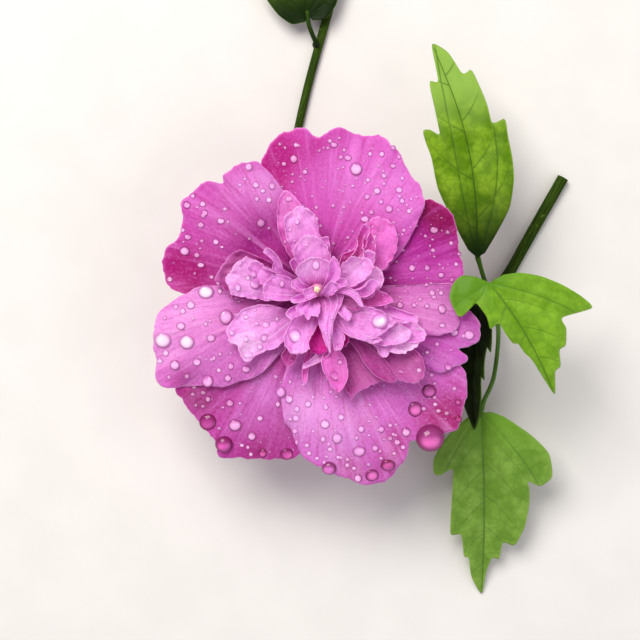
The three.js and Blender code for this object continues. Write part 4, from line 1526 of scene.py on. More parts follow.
@dataclass(frozen=True)
class Calyx:
    """The green cup that carries the petals, its collar and the ring of narrow bractlets on that."""

    bottom: float = 8
    sepals: int = 5
    sepal_reach: float = 6
    bractlets: int = 7
    sides: int = 180
    gap: float = 0.9  # from the middle of the lowest petal layer down to the sepals
    collar: Pairs = ((2.9, 7.2), (4.2, 7.6), (4.6, 8.6), (4.2, 9.2), (3.2, 8.4), (2.9, 7.2))
    funnel: Funnel = Funnel()

    def under_petals(self, flat: np.ndarray) -> np.ndarray:
        """Height of the upper face at flat positions, clear of the petals."""
        return self.funnel.height(flat, np.zeros(flat.shape[:-1])) - self.gap

    def cup(self) -> Shape:
        """The cup with its five lobes, as one closed body."""
        bearings = np.arange(self.sides) * 360 / self.sides
        around = heading(bearings)
        wall = smooth_line(((2.4, self.bottom), (4.4, 10.6), (5.7, 15.5), (6, 20.5)), 14)
        lobe = ((1 + np.cos(np.radians(self.sepals * bearings))) / 2) ** 0.8
        off = (bearings * self.sepals + 180) % 360 / self.sepals - 180 / self.sepals
        ribs = 0.045 * np.exp(-((off / 4) ** 2)) - 0.06 * (1 - lobe) ** 6
        tall = smoothstep(wall[:, 1], self.bottom, self.bottom + 6)
        rings = [
            np.column_stack([around * (r * (1 + ribs * t))[:, None], np.full(self.sides, z)])
            for (r, z), t in zip(wall, tall)
        ]
        lip = [(6.4, 1, 0.9), (6.55, 1, 0.45), (6.4, 1, 0), (5.8, 0.66, 0), (5.2, 0.33, 0), (4.6, 0, 0)]
        for start, share, drop in [*lip, (self.funnel.claw_radius, 0, 0)]:
            flat = around * (start + share * self.sepal_reach * lobe)[:, None]
            rings.append(np.column_stack([flat, self.under_petals(flat) - drop]))
        count = len(rings)
        index = np.arange(count * self.sides).reshape(count, self.sides)
        ahead = np.roll(index, -1, axis=1)
        wall_faces = np.stack([index[:-1], ahead[:-1], ahead[1:], index[1:]], axis=-1).reshape(-1, 4)
        faces = [tuple(f) for f in wall_faces.tolist()]
        foot, top = count * self.sides, count * self.sides + 1
        faces += [(foot, int(b), int(a)) for a, b in zip(index[0], ahead[0])]
        faces += [(top, int(a), int(b)) for a, b in zip(index[-1], ahead[-1])]
        points = np.vstack([*rings, [0, 0, self.bottom], [0, 0, rings[-1][:, 2].mean()]])
        uv = np.stack(np.meshgrid(bearings / 30, np.arange(count) * 1.5), axis=-1).reshape(-1, 2)
        return Shape(points, faces, np.vstack([uv, [[0, 0], [0, 0]]]))

    def collar_ring(self) -> Shape:
        """The collar below the cup, as one closed ring."""
        profile = smooth_line(self.collar, 25)[:-1]
        bearings = np.arange(60) * 6
        ring = np.array([np.column_stack([heading(bearings) * r, np.full(60, z)]) for r, z in profile])
        index = np.arange(ring.shape[0] * 60).reshape(-1, 60)
        ahead, above = np.roll(index, -1, axis=1), np.roll(index, -1, axis=0)
        faces = np.stack([index, ahead, np.roll(ahead, -1, axis=0), above], axis=-1).reshape(-1, 4)
        uv = np.stack(np.meshgrid(bearings / 30, np.arange(ring.shape[0]) * 0.5), axis=-1)
        return Shape(ring.reshape(-1, 3), [tuple(f) for f in faces.tolist()], uv.reshape(-1, 2))

    def bractlet(self) -> Shape:
        """One bractlet, at the bearing of +X, about the bloom's axis."""
        spine = smooth_line(((4, 0, 8.4), (5.8, 0, 10.4), (7.4, 0, 13.6), (8.6, 0, 17.4)), 12)
        share = np.linspace(0, 1, 12)
        half = np.interp(share, (0, 0.3, 0.7, 1), (0.7, 1, 0.85, 0.15))
        across = np.linspace(-1, 1, 5)
        rows = spine[:, None] + np.array([0, 1, 0]) * (half[:, None] * across)[..., None]
        rows[..., 0] -= 0.25 * np.abs(across) * half[:, None]
        uv = np.stack(np.meshgrid(across, share * 12), axis=-1)
        thickness = np.broadcast_to(0.45 - 0.2 * share[:, None], rows.shape[:2])
        return thin_sheet(rows, thickness, uv, {})

    @staticmethod
    def ring_tree() -> bpy.types.NodeTree:
        """A geometry tree that sets copies evenly round an upright axis."""
        tree = new_growth("bractlet_ring", {"Count": "Int", "Axis": "Vector"})
        given = add_node(tree, "NodeGroupInput", {}, {}).outputs
        stems = {"Count": given["Count"], "Position": given["Axis"]}
        points = add_node(tree, "GeometryNodePoints", {}, stems).outputs[0]
        index = add_node(tree, "GeometryNodeInputIndex", {}, {}).outputs[0]
        place = add_node(tree, "ShaderNodeMath", {"operation": "ADD"}, {0: index, 1: 0.5}).outputs[0]
        share = add_node(tree, "ShaderNodeMath", {"operation": "DIVIDE"}, {0: place, 1: given["Count"]})
        whole_turn = {0: share.outputs[0], 1: 2 * np.pi}
        turn = add_node(tree, "ShaderNodeMath", {"operation": "MULTIPLY"}, whole_turn).outputs[0]
        euler = add_node(tree, "ShaderNodeCombineXYZ", {}, {2: turn}).outputs[0]
        turned = add_node(tree, "FunctionNodeEulerToRotation", {}, {0: euler}).outputs[0]
        laid = {"Points": points, "Instance": given["Geometry"], "Rotation": turned}
        end_growth(tree, add_node(tree, "GeometryNodeInstanceOnPoints", {}, laid).outputs[0], given["Material"])
        return tree

    def build(self) -> None:
        """Makes and dresses cup, collar and bractlets."""
        down = made(DOWNY_CALYX)
        place_piece(self.cup().mesh("calyx_cup"), down, Slot.CALYX, "calyx")
        place_piece(self.collar_ring().mesh("epicalyx_collar"), down, Slot.CALYX, "epicalyx")
        one = self.bractlet()
        loose = Shape(one.points - SHIFT, one.faces, one.uv).mesh("epicalyx_bractlets")
        axis = (SHIFT * METRES).tolist()
        ring = grown(loose, self.ring_tree(), {"Material": down, "Count": self.bractlets, "Axis": axis})
        place_piece(ring, down, Slot.CALYX, "epicalyx")


@dataclass(frozen=True)
class Column:
    """The column in the bloom's middle and the stigma lobes on it."""

    foot: float = 23.4
    radius: float = 1.75
    neck: float = 39.4  # where it starts to narrow
    tip_radius: float = 1.1
    lobes: int = 5
    lobe_radius: float = 0.42
    lobe_reach: float = 0.4

    def tube(self) -> Shape:
        """The column."""
        line = np.column_stack([np.zeros((24, 2)), np.linspace(self.foot, COLUMN_TOP, 24)])
        radius = np.interp(line[:, 2], (self.neck, COLUMN_TOP), (self.radius, self.tip_radius))
        return tube(line, radius, 24)

    def stigma(self) -> Shape:
        """A bead for each lobe, round one in the middle."""
        share = np.linspace(-1, 1, 9)
        radii = self.lobe_radius * np.sqrt(1.02 - share**2)
        rise = np.column_stack([np.zeros((9, 2)), share * self.lobe_radius])
        beads = tube(np.array([0, 0, COLUMN_TOP + 1.1]) + rise, radii, 12)
        for k in range(self.lobes):
            centre = np.array([*heading(360 * k / self.lobes) * self.lobe_reach, COLUMN_TOP + 0.7])
            beads = beads.joined(tube(centre + rise, radii, 12))
        return beads

    def build(self) -> None:
        """Makes and dresses both."""
        place_piece(self.tube().mesh("staminal_tube"), made(SMOOTH_COLUMN), Slot.STYLE, "staminal_column")
        place_piece(self.stigma().mesh("stigma_lobes"), made(WAXY_STIGMA), Slot.STYLE, "style_tip")


# ---- Stems ----


@dataclass(frozen=True)
class Stem:
    """A round green shoot along a smooth route."""

    name: str
    route: tuple[tuple[float, float, float], ...]
    radii: tuple[float, ...]
    steps: int = 60

    def shape(self) -> Shape:
        """The stem, with faint ridges and small swellings."""
        line = smooth_line(self.route, self.steps)
        place = np.linspace(0, len(self.radii) - 1, self.steps)
        low = np.minimum(place.astype(int), len(self.radii) - 2)
        ends = np.array(self.radii)
        radius = ends[low] + (ends[low + 1] - ends[low]) * smoothstep(place - low, 0, 1)
        sides = 20
        turn = np.linspace(0, 1, sides, endpoint=False)
        ridge = 1 + 0.018 * np.cos(2 * np.pi * 5 * turn)
        return tube(line, radius[:, None] * ridge, sides)


NODE = (46.2, -3, 1.9)
FORK = (-14, -10, 1.1)
TOP_NODE = (-0.2, 66.3, 1.3)
STEMS = (
    Stem("stem_lower", ((65.9, 30.6, 1.5), (57.7, 16.2, 1.5), (51.4, 5, 1.7), NODE), (1.5, 1.5, 1.45, 1.9)),
    Stem(
        "stem_middle",
        (NODE, (NODE[0] - 2.2, NODE[1] - 0.9, 1.7), (30, -8.6, 1.5), (8, -11, 1.2), FORK),
        (1.5, 1.4, 1.35, 1.1, 1.1),
    ),
    Stem(
        "stem_upper",
        (
            FORK, (FORK[0] + 0.3, FORK[1] + 1.5, 1), (-10.8, 12, 1), (-7.8, 31, 1.05), (-2.7, 54.5, 1.15),
            (3.2, 76, 1.25), (6.2, 88, 1.25),
        ),
        (0.95, 1, 1.1, 1.25),
    ),
    Stem(
        "pedicel",
        (
            (FORK[0] + 2.4, FORK[1] - 0.1, 1.3), (FORK[0] + 2.9, FORK[1] + 0.2, 3.6), (-7, -6.2, 4.8),
            (-1.2, -1.2, 4.7), (0, 0, 6), (0, 0, 7.7),
        ),
        (1.15, 0.95, 0.95, 1.2),
    ),
)


# ---- Leaves ----

SIDE_VEINS = ("first_side_vein", "other_side_vein")
HALF_BLADE = (
    (150, 0.08), (112, 0.18), (82, 0.28), (60, 0.42), (51, 0.52), (44, 0.4), (31, 0.5), (25, 0.62),
    (20, 0.58), (13, 0.78), (6, 0.9),
)


def lobed_rim(length: float, axis: float) -> Pairs:
    """The rim of a plain lobed and toothed blade, of a length and along an axis."""
    side = [(axis - off, share * length) for off, share in HALF_BLADE]
    other = [(axis + off, share * length) for off, share in reversed(HALF_BLADE)]
    return (*side, (axis, length), *other)


@dataclass(frozen=True)
class Leaf:
    """A lobed, toothed leaf on its stalk.

    base is where the blade meets its stalk, stalk the way there, axis the bearing of the midrib and rim
    bearing and radius pairs about the base. slope and droop are how the midrib climbs and bows down,
    fold how the two halves rise from it, and roll how far the blade is turned about it.
    """

    name: str
    base: tuple[float, float, float]
    stalk: tuple[tuple[float, float, float], ...]
    axis: float
    rim: Pairs
    finish: LeafFinish
    slope: float = 0
    droop: float = 0.002
    fold: float = 0.1
    roll: float = 0
    rests_on_tip: bool = False
    bow: float = 0  # how far the midrib swings right in its middle
    side_veins: tuple[float, float] = (-42, 42)  # main veins besides the midrib, off its bearing
    vein_spacing: float = 8.5
    vein_start: float = 6  # how far along the midrib its first small vein leaves it
    vein_depth: float = 0.28
    quilt: float = 0.3
    thickness: float = 0.34
    rim_thickness: float = 0.2
    cad_thickness: float = 0.6
    columns: int = 181
    rows: int = 73
    stalk_radius: float = 0.6
    root: tuple[float, float, float] = NODE  # where its stalk leaves the stem
    seed: int = 1

    def veins(self, along: np.ndarray, aside: np.ndarray) -> dict[str, np.ndarray]:
        """Where the veins run.

        Args:
            along: Distance of each point along the midrib.
            aside: Its distance to the left of the midrib.

        Returns:
            For each point, how far it is from the midrib and from each side vein, in widths of that vein,
            and which small vein it is at: a whole number on one, a broken one between two.
        """
        found = {"rib": aside / (0.36 - 0.004 * along)}
        for name, off in zip(SIDE_VEINS, self.side_veins):
            cos, sin = heading(off)
            s, d = along * cos + aside * sin, aside * cos - along * sin
            found[name] = (d + 0.006 * s**2 * np.sign(off)) / 0.26 + 20 * smoothstep(-s, 0, 2)
        off = np.abs(aside)
        climb = 0.5 * off + 0.12 * off**2 / (1 + off / 12)
        found["run"] = (along - climb - self.vein_start) / self.vein_spacing + 0.11 * np.sign(aside)
        return found

    def relief(self, along: np.ndarray, aside: np.ndarray) -> np.ndarray:
        """How far each point is sunk along the veins and puffed up between them."""
        veins = self.veins(along, aside)
        sunk = 1 - smoothstep(np.abs(veins["rib"]), 0.5, 4)
        for name in SIDE_VEINS:
            sunk = np.maximum(sunk, 0.5 * (1 - smoothstep(np.abs(veins[name]), 0.5, 4)))
        puff = np.sin(np.pi * veins["run"]) ** 2 * smoothstep(np.abs(aside), 0.3, 2.5)
        return self.quilt * puff - self.vein_depth * sunk

    def blade(self) -> Shape:
        """The closed blade."""
        bearings, radii = np.array(self.rim).T
        rim = smooth_rim(bearings, radii, self.columns)
        out = np.linspace(0.006, 1, self.rows)[:, None]
        flat = rim * out[..., None]
        cos, sin = heading(self.axis)
        along = flat[..., 0] * cos + flat[..., 1] * sin
        aside = flat[..., 1] * cos - flat[..., 0] * sin
        length = radii.max()
        off_rib = aside + self.bow * np.sin(np.pi * np.clip(along / length, 0, 1))
        climb = self.slope
        if self.rests_on_tip:
            climb = (self.cad_thickness / 2 - self.base[2]) / length + self.droop * length
        z = climb * along - self.droop * along**2 + self.fold * np.abs(off_rib)
        z = z + self.relief(along, off_rib) * (1 - smoothstep(out, 0.9, 1))
        lie = 0.3 if self.rests_on_tip else 1
        z = z + lie * 0.9 * rough(along / 11, aside / 11, self.seed) * out**2
        turn = np.radians(self.roll)
        right = np.array([-sin, cos, 0])
        ahead = np.array([cos, sin, 0])
        up = np.array([0, 0, 1])
        side = right * np.cos(turn) + up * np.sin(turn)
        lift = up * np.cos(turn) - right * np.sin(turn)
        points = self.base + along[..., None] * ahead + aside[..., None] * side + z[..., None] * lift
        edge = np.broadcast_to(out, z.shape)
        thickness = self.thickness + (self.rim_thickness - self.thickness) * edge**6
        uv = np.stack([aside, along], axis=-1)
        return thin_sheet(points, thickness, uv, {"edge": edge, **self.veins(along, off_rib)})

    def shape(self) -> Shape:
        """Blade and stalk."""
        ahead = heading(self.axis)
        into = (self.base[0] + 1.4 * ahead[0], self.base[1] + 1.4 * ahead[1], self.base[2] - 0.4)
        line = smooth_line((self.root, *self.stalk, into), 40)
        share = np.linspace(0, 1, 40)
        swell = 1 + 0.9 * np.exp(-((share / 0.14) ** 2)) + 0.2 * np.exp(-(((share - 0.92) / 0.05) ** 2))
        radii = self.stalk_radius * swell * (1 - 0.5 * smoothstep(share, 0.94, 1))
        return self.blade().joined(tube(line, radii, 12))


def smooth_rim(bearings: np.ndarray, radii: np.ndarray, count: int) -> np.ndarray:
    """A leaf's rim with its teeth kept sharp.

    Args:
        bearings: Of the rim's points.
        radii: Of the rim's points.
        count: How many points the rim gets.

    Returns:
        Flat positions about the leaf's base.
    """
    corners = heading(bearings) * radii[:, None]
    soft = smooth_line(corners, count)
    steps = np.linalg.norm(np.diff(corners, axis=0), axis=1)
    reach = np.concatenate([[0], np.cumsum(steps)])
    places = np.linspace(0, reach[-1], count)
    straight = np.column_stack([np.interp(places, reach, corners[:, k]) for k in range(2)])
    return 0.6 * soft + 0.4 * straight


# Its dark colour towards the stalk is painted shade, where the bloom shades the upright leaf.
UPRIGHT_GREEN = LeafFinish(
    "living leaf, upright", "#58800a", "#102402", "#7ea422", "#335a16", 22, 0.12, tip_start=30
)
BRIGHT_GREEN = LeafFinish("living leaf, bright", "#689812", "#588a10", "#7fae24", "#4a7414", 4)
# Its colour towards the stalk is painted light, lifting the end that lies in the bloom's shadow.
SOFT_GREEN = LeafFinish("living leaf, soft", "#66902a", "#6a9a26", "#7ea640", "#4a702c", 14)
# Painted shade: a darkened copy of the leaf for the leaf that lies in the bloom's shadow; its pale margin is a painted
# highlight along its edges.
SHADED_GREEN = LeafFinish(
    "living leaf, deep", "#0f1e02", "#0a1502", "#1a2d06", "#091302", 10, 0.04, "#55742a"
)

LEAVES = (
    Leaf(
        "leaf_upright",
        (41, 8.4, 24),
        ((45.9, -1.2, 4), (44.6, 0.8, 12), (42.6, 4.8, 19)),
        101.8,
        (
            (35, 2.2), (53, 7.7), (58, 15), (65.5, 21.6), (71, 26.5), (76.5, 32), (79.3, 35.9),
            (84, 34.3), (86.6, 38.9), (88.6, 42.4), (91.8, 48.1), (94.6, 47.2), (98, 53.2), (101.8, 56.2),
            (102.5, 46.3), (105.2, 46.7), (106.2, 39), (107.4, 32.8), (110.7, 34.7), (113.6, 35.2),
            (114.6, 32.4), (115.4, 27.9), (120.5, 20.5), (123.5, 13), (129, 7.5), (141, 3.3),
        ),
        UPRIGHT_GREEN,
        slope=0.15,
        droop=0.0035,
        fold=0.16,
        bow=3.3,
        side_veins=(-24, 17),
        vein_spacing=12.5,
        vein_start=8.5,
        seed=301,
    ),
    Leaf(
        "leaf_right",
        (42.8, 1.7, 37.2),
        ((45.8, -3.3, 4.2), (46.6, -2.2, 16), (45.2, 2.4, 30)),
        301,
        (
            (156, 3.6), (166, 7.2), (183, 9.2), (199, 10.5), (209, 10.8), (226, 11.4), (231, 10.4),
            (234.5, 6.2), (245, 6.3), (265, 8.5), (271.2, 11.5), (282.5, 10.2), (287.5, 13.1),
            (291.5, 16.1), (295.5, 16.7), (297.4, 19.9), (299.4, 22.1), (301, 32.5), (307, 27.7),
            (311, 27.4), (316.5, 24.2), (321, 24.6), (329.5, 22.2), (334.5, 20), (346.5, 26.4),
            (352, 22.9), (359, 17.7), (367.5, 12.8), (378, 8.1), (390, 4),
        ),
        BRIGHT_GREEN,
        slope=0.04,
        droop=0.006,
        fold=0.02,
        bow=-1.2,
        side_veins=(-90, 45),
        seed=307,
    ),
    Leaf(
        "leaf_hanging",
        (42.5, -31.6, 15),
        ((46.5, -4.3, 4.1), (48, -10, 7), (46.5, -22, 11), (43.4, -29, 14.2)),
        271.9,
        (
            (195, 2.6), (210, 6.3), (217.5, 11.5), (225, 17), (233.5, 20.1), (238, 19.5), (244.5, 16.4),
            (249, 19.2), (253.8, 25.5), (257.5, 33.4), (262.4, 33), (265, 39), (266.8, 39.1),
            (268.4, 44.6), (271.9, 49.4), (273.5, 43.2), (276, 39.4), (278.5, 40), (281, 35.6),
            (285.6, 37), (292, 32.9), (298.5, 27.9), (303, 24.3), (305, 22.1), (309.5, 25.2),
            (318.5, 25.4), (329, 21), (335.5, 15), (350, 6.3), (362, 2.9),
        ),
        SOFT_GREEN,
        droop=0.002,
        fold=0.12,
        bow=-0.8,
        rests_on_tip=True,
        side_veins=(-40, 44),
        seed=311,
    ),
    Leaf(
        "leaf_shaded",
        (41.6, -5.8, 20),
        ((44.5, -3.7, 3.8), (43.8, -4.2, 9), (42.2, -4.8, 16)),
        270,
        lobed_rim(30, 270),
        SHADED_GREEN,
        slope=0.12,
        droop=0.002,
        fold=0.1,
        roll=70,
        seed=313,
    ),
    Leaf(
        "leaf_top",
        (-2.5, 73.8, 5),
        ((-0.2, 66.4, 2.9), (-1.4, 69, 3.5), (-2.3, 71.5, 4.4)),
        100,
        lobed_rim(28, 100),
        UPRIGHT_GREEN,
        slope=0.1,
        droop=0.003,
        fold=0.05,
        root=TOP_NODE,
        seed=317,
    ),
)


# ---- Rain ----


@dataclass(frozen=True)
class DropTree:
    """A geometry tree that sets a flat-bottomed dome of water on every point it is given."""

    name: str
    segments: int
    rings: int
    scatter: bool  # spread the points over faces first, else use the points there are
    height: float = 0.42  # as a share of the radius
    least: float = 0.84  # how far a drop's outline is squeezed
    most: float = 1.16
    sunk: float = 0.1

    def build(self) -> bpy.types.NodeTree:
        """Makes the tree."""
        sizes = dict.fromkeys(("Density", "Spacing", "Smallest", "Largest"), "Float")
        tree = new_growth(self.name, sizes | {"Seed": "Int"})
        given = add_node(tree, "NodeGroupInput", {}, {}).outputs
        points, turn, size = self.spread(tree, given) if self.scatter else self.given_points(tree, given)
        limits = {0: (self.least, self.least, 1.0), 1: (self.most, self.most, 1.0), "Seed": given["Seed"]}
        oval = add_node(tree, "FunctionNodeRandomValue", {"data_type": "FLOAT_VECTOR"}, limits).outputs[0]
        girth = add_node(tree, "ShaderNodeVectorMath", {"operation": "SCALE"}, {0: oval, "Scale": size})
        laid = add_node(
            tree,
            "GeometryNodeInstanceOnPoints",
            {},
            {"Points": points, "Instance": self.dome(tree), "Rotation": turn, "Scale": girth.outputs[0]},
        ).outputs[0]
        end_growth(tree, laid, given["Material"])
        return tree

    def dome(self, tree: bpy.types.NodeTree) -> bpy.types.NodeSocket:
        """A dome of radius 1 that carries how far out each of its points is."""
        sizes = {"Segments": self.segments, "Rings": self.rings, "Radius": 1}
        sphere = add_node(tree, "GeometryNodeMeshUVSphere", {}, sizes).outputs["Mesh"]
        place = add_node(tree, "GeometryNodeInputPosition", {}, {}).outputs[0]
        parts = add_node(tree, "ShaderNodeSeparateXYZ", {}, {0: place}).outputs
        level = add_node(tree, "ShaderNodeCombineXYZ", {}, {0: parts[0], 1: parts[1]}).outputs[0]
        out = add_node(tree, "ShaderNodeVectorMath", {"operation": "LENGTH"}, {0: level}).outputs["Value"]
        named = add_node(
            tree,
            "GeometryNodeStoreNamedAttribute",
            {"data_type": "FLOAT", "domain": "POINT"},
            {"Geometry": sphere, "Name": "rim", "Value": out},
        ).outputs[0]
        bulge = add_node(tree, "ShaderNodeMath", {"operation": "MULTIPLY"}, {0: parts[2], 1: self.height})
        flat = add_node(tree, "ShaderNodeMath", {"operation": "MAXIMUM"}, {0: bulge.outputs[0], 1: -self.sunk})
        spot = add_node(tree, "ShaderNodeCombineXYZ", {}, {0: parts[0], 1: parts[1], 2: flat.outputs[0]})
        moved = {"Geometry": named, "Position": spot.outputs[0]}
        return add_node(tree, "GeometryNodeSetPosition", {}, moved).outputs[0]

    @staticmethod
    def spread(tree: bpy.types.NodeTree, given: bpy.types.bpy_prop_collection) -> tuple:
        """Points spread over faces, with their turn and a size that is mostly small."""
        spread = add_node(
            tree,
            "GeometryNodeDistributePointsOnFaces",
            {"distribute_method": "POISSON"},
            {
                "Mesh": given["Geometry"],
                "Distance Min": given["Spacing"],
                "Density Max": given["Density"],
                "Density Factor": carried(tree, "wet", "FLOAT"),
                "Seed": given["Seed"],
            },
        ).outputs
        chance = add_node(
            tree, "FunctionNodeRandomValue", {"data_type": "FLOAT"}, {2: 0.0, 3: 1.0, "Seed": given["Seed"]}
        ).outputs[1]
        skew = add_node(tree, "ShaderNodeMath", {"operation": "POWER"}, {0: chance, 1: 2.6}).outputs[0]
        limits = {0: skew, 1: 0.0, 2: 1.0, 3: given["Smallest"], 4: given["Largest"]}
        size = add_node(tree, "ShaderNodeMapRange", {}, limits).outputs[0]
        return spread["Points"], spread["Rotation"], size

    @staticmethod
    def given_points(tree: bpy.types.NodeTree, given: bpy.types.bpy_prop_collection) -> tuple:
        """The points there are, with the turn and the size they carry."""
        facing = {"Vector": carried(tree, "upward", "FLOAT_VECTOR")}
        turn = add_node(tree, "FunctionNodeAlignRotationToVector", {"axis": "Z"}, facing).outputs[0]
        return given["Geometry"], turn, carried(tree, "size", "FLOAT")


DROPS = (
    (181, 326, 9), (197, 362, 8), (211, 338, 8), (187, 376, 6), (193, 394, 5), (308, 404, 7),
    (326, 407, 6), (341, 417, 7), (296, 418, 7), (323, 439, 6), (330, 449, 6), (397, 442, 6),
    (295, 431, 6), (309, 453, 5), (294, 159, 8), (284, 164, 5), (296, 145, 6), (334, 145, 7),
    (344, 150, 5), (393, 148, 6), (399, 157, 5), (393, 166, 6), (367, 197, 6), (365, 219, 9),
    (381, 202, 6), (402, 201, 6), (409, 211, 6), (434, 230, 8), (451, 243, 5), (459, 254, 5),
    (412, 268, 7), (427, 268, 6), (441, 275, 7), (456, 264, 5), (437, 344, 5), (427, 352, 5),
    (232, 296, 6), (246, 317, 5), (191, 305, 8),
    (175, 365, 11), (208, 381, 14), (228, 378, 8), (246, 369, 9), (230, 403, 8), (260, 418, 6),
    (289, 399, 8), (278, 404, 6), (359, 451, 13), (381, 429, 7), (361, 429, 7), (375, 448, 7),
    (347, 465, 6), (356, 169, 14), (348, 158, 7), (370, 154, 5), (382, 154, 7), (399, 190, 7),
    (384, 176, 6), (368, 180, 5), (377, 191, 8), (389, 209, 8), (305, 172, 6), (221, 221, 8),
    (201, 225, 7), (187, 205, 8), (205, 213, 6), (202, 241, 5), (216, 242, 6), (240, 185, 4),
    (249, 167, 8), (263, 191, 6), (269, 200, 6), (442, 309, 9), (432, 293, 7), (441, 293, 5),
    (420, 299, 5), (414, 305, 6), (427, 306, 6), (400, 305, 8), (386, 306, 6), (469, 335, 10),
    (454, 332, 11), (448, 367, 7), (401, 371, 6), (419, 370, 6), (316, 265, 10), (255, 284, 10),
    (253, 274, 9), (238, 288, 7), (282, 284, 7), (248, 355, 10), (266, 325, 8), (264, 338, 8),
    (260, 347, 6), (246, 339, 6), (232, 333, 5), (297, 222, 6),
    (340, 362, 6), (335, 376, 9), (358, 478, 8), (235, 425, 13), (252, 436, 9), (406, 432, 11),
    (435, 404, 5), (261, 223, 9), (185, 251, 10), (188, 237, 7), (201, 265, 7), (442, 325, 7),
    (170, 279, 6), (197, 255, 6), (212, 277, 5), (218, 283, 5), (257, 199, 5), (272, 186, 7),
    (245, 179, 4), (256, 185, 8), (193, 196, 5), (203, 204, 6), (183, 230, 5), (288, 199, 7),
    (290, 230, 4), (222, 247, 4), (176, 307, 6), (183, 311, 6), (165, 318, 5), (206, 324, 5),
    (166, 353, 7), (160, 361, 6), (169, 377, 5), (231, 366, 7), (214, 358, 5), (220, 354, 4),
    (219, 370, 5), (226, 317, 14), (220, 291, 6), (211, 277, 4), (258, 300, 6), (269, 299, 7),
    (277, 319, 5), (255, 310, 4), (208, 399, 6), (196, 405, 4), (203, 406, 5), (223, 407, 4),
    (240, 403, 4), (242, 445, 5), (248, 447, 4), (251, 454, 5), (281, 392, 12), (297, 442, 6),
    (297, 409, 6), (325, 424, 10), (313, 431, 4), (337, 438, 11), (390, 425, 5), (393, 434, 4),
    (369, 435, 4), (384, 439, 4), (307, 445, 6), (338, 457, 5), (317, 458, 5), (324, 462, 5),
    (354, 468, 5), (381, 458, 5), (394, 453, 5), (403, 447, 5),
)
LIT_DROPS = (
    (206, 292, 16), (163, 340, 16), (187, 342, 14), (295, 336, 14), (380, 321, 17), (249, 355, 9),
    (248, 278, 6), (357, 169, 9),
)
RIM_DROPS = (
    (388, 465, 15), (372, 475, 13), (208, 422, 16), (263, 453, 9), (287, 454, 13), (429, 391, 14),
    (415, 409, 17), (458, 402, 7), (458, 419, 7),
)
HEAVY_DROPS = {
    "water_drop_notch": (430, 438, 29),
    "water_drop_left": (224, 444, 18),
    "water_drop_low": (329, 468, 15),
}


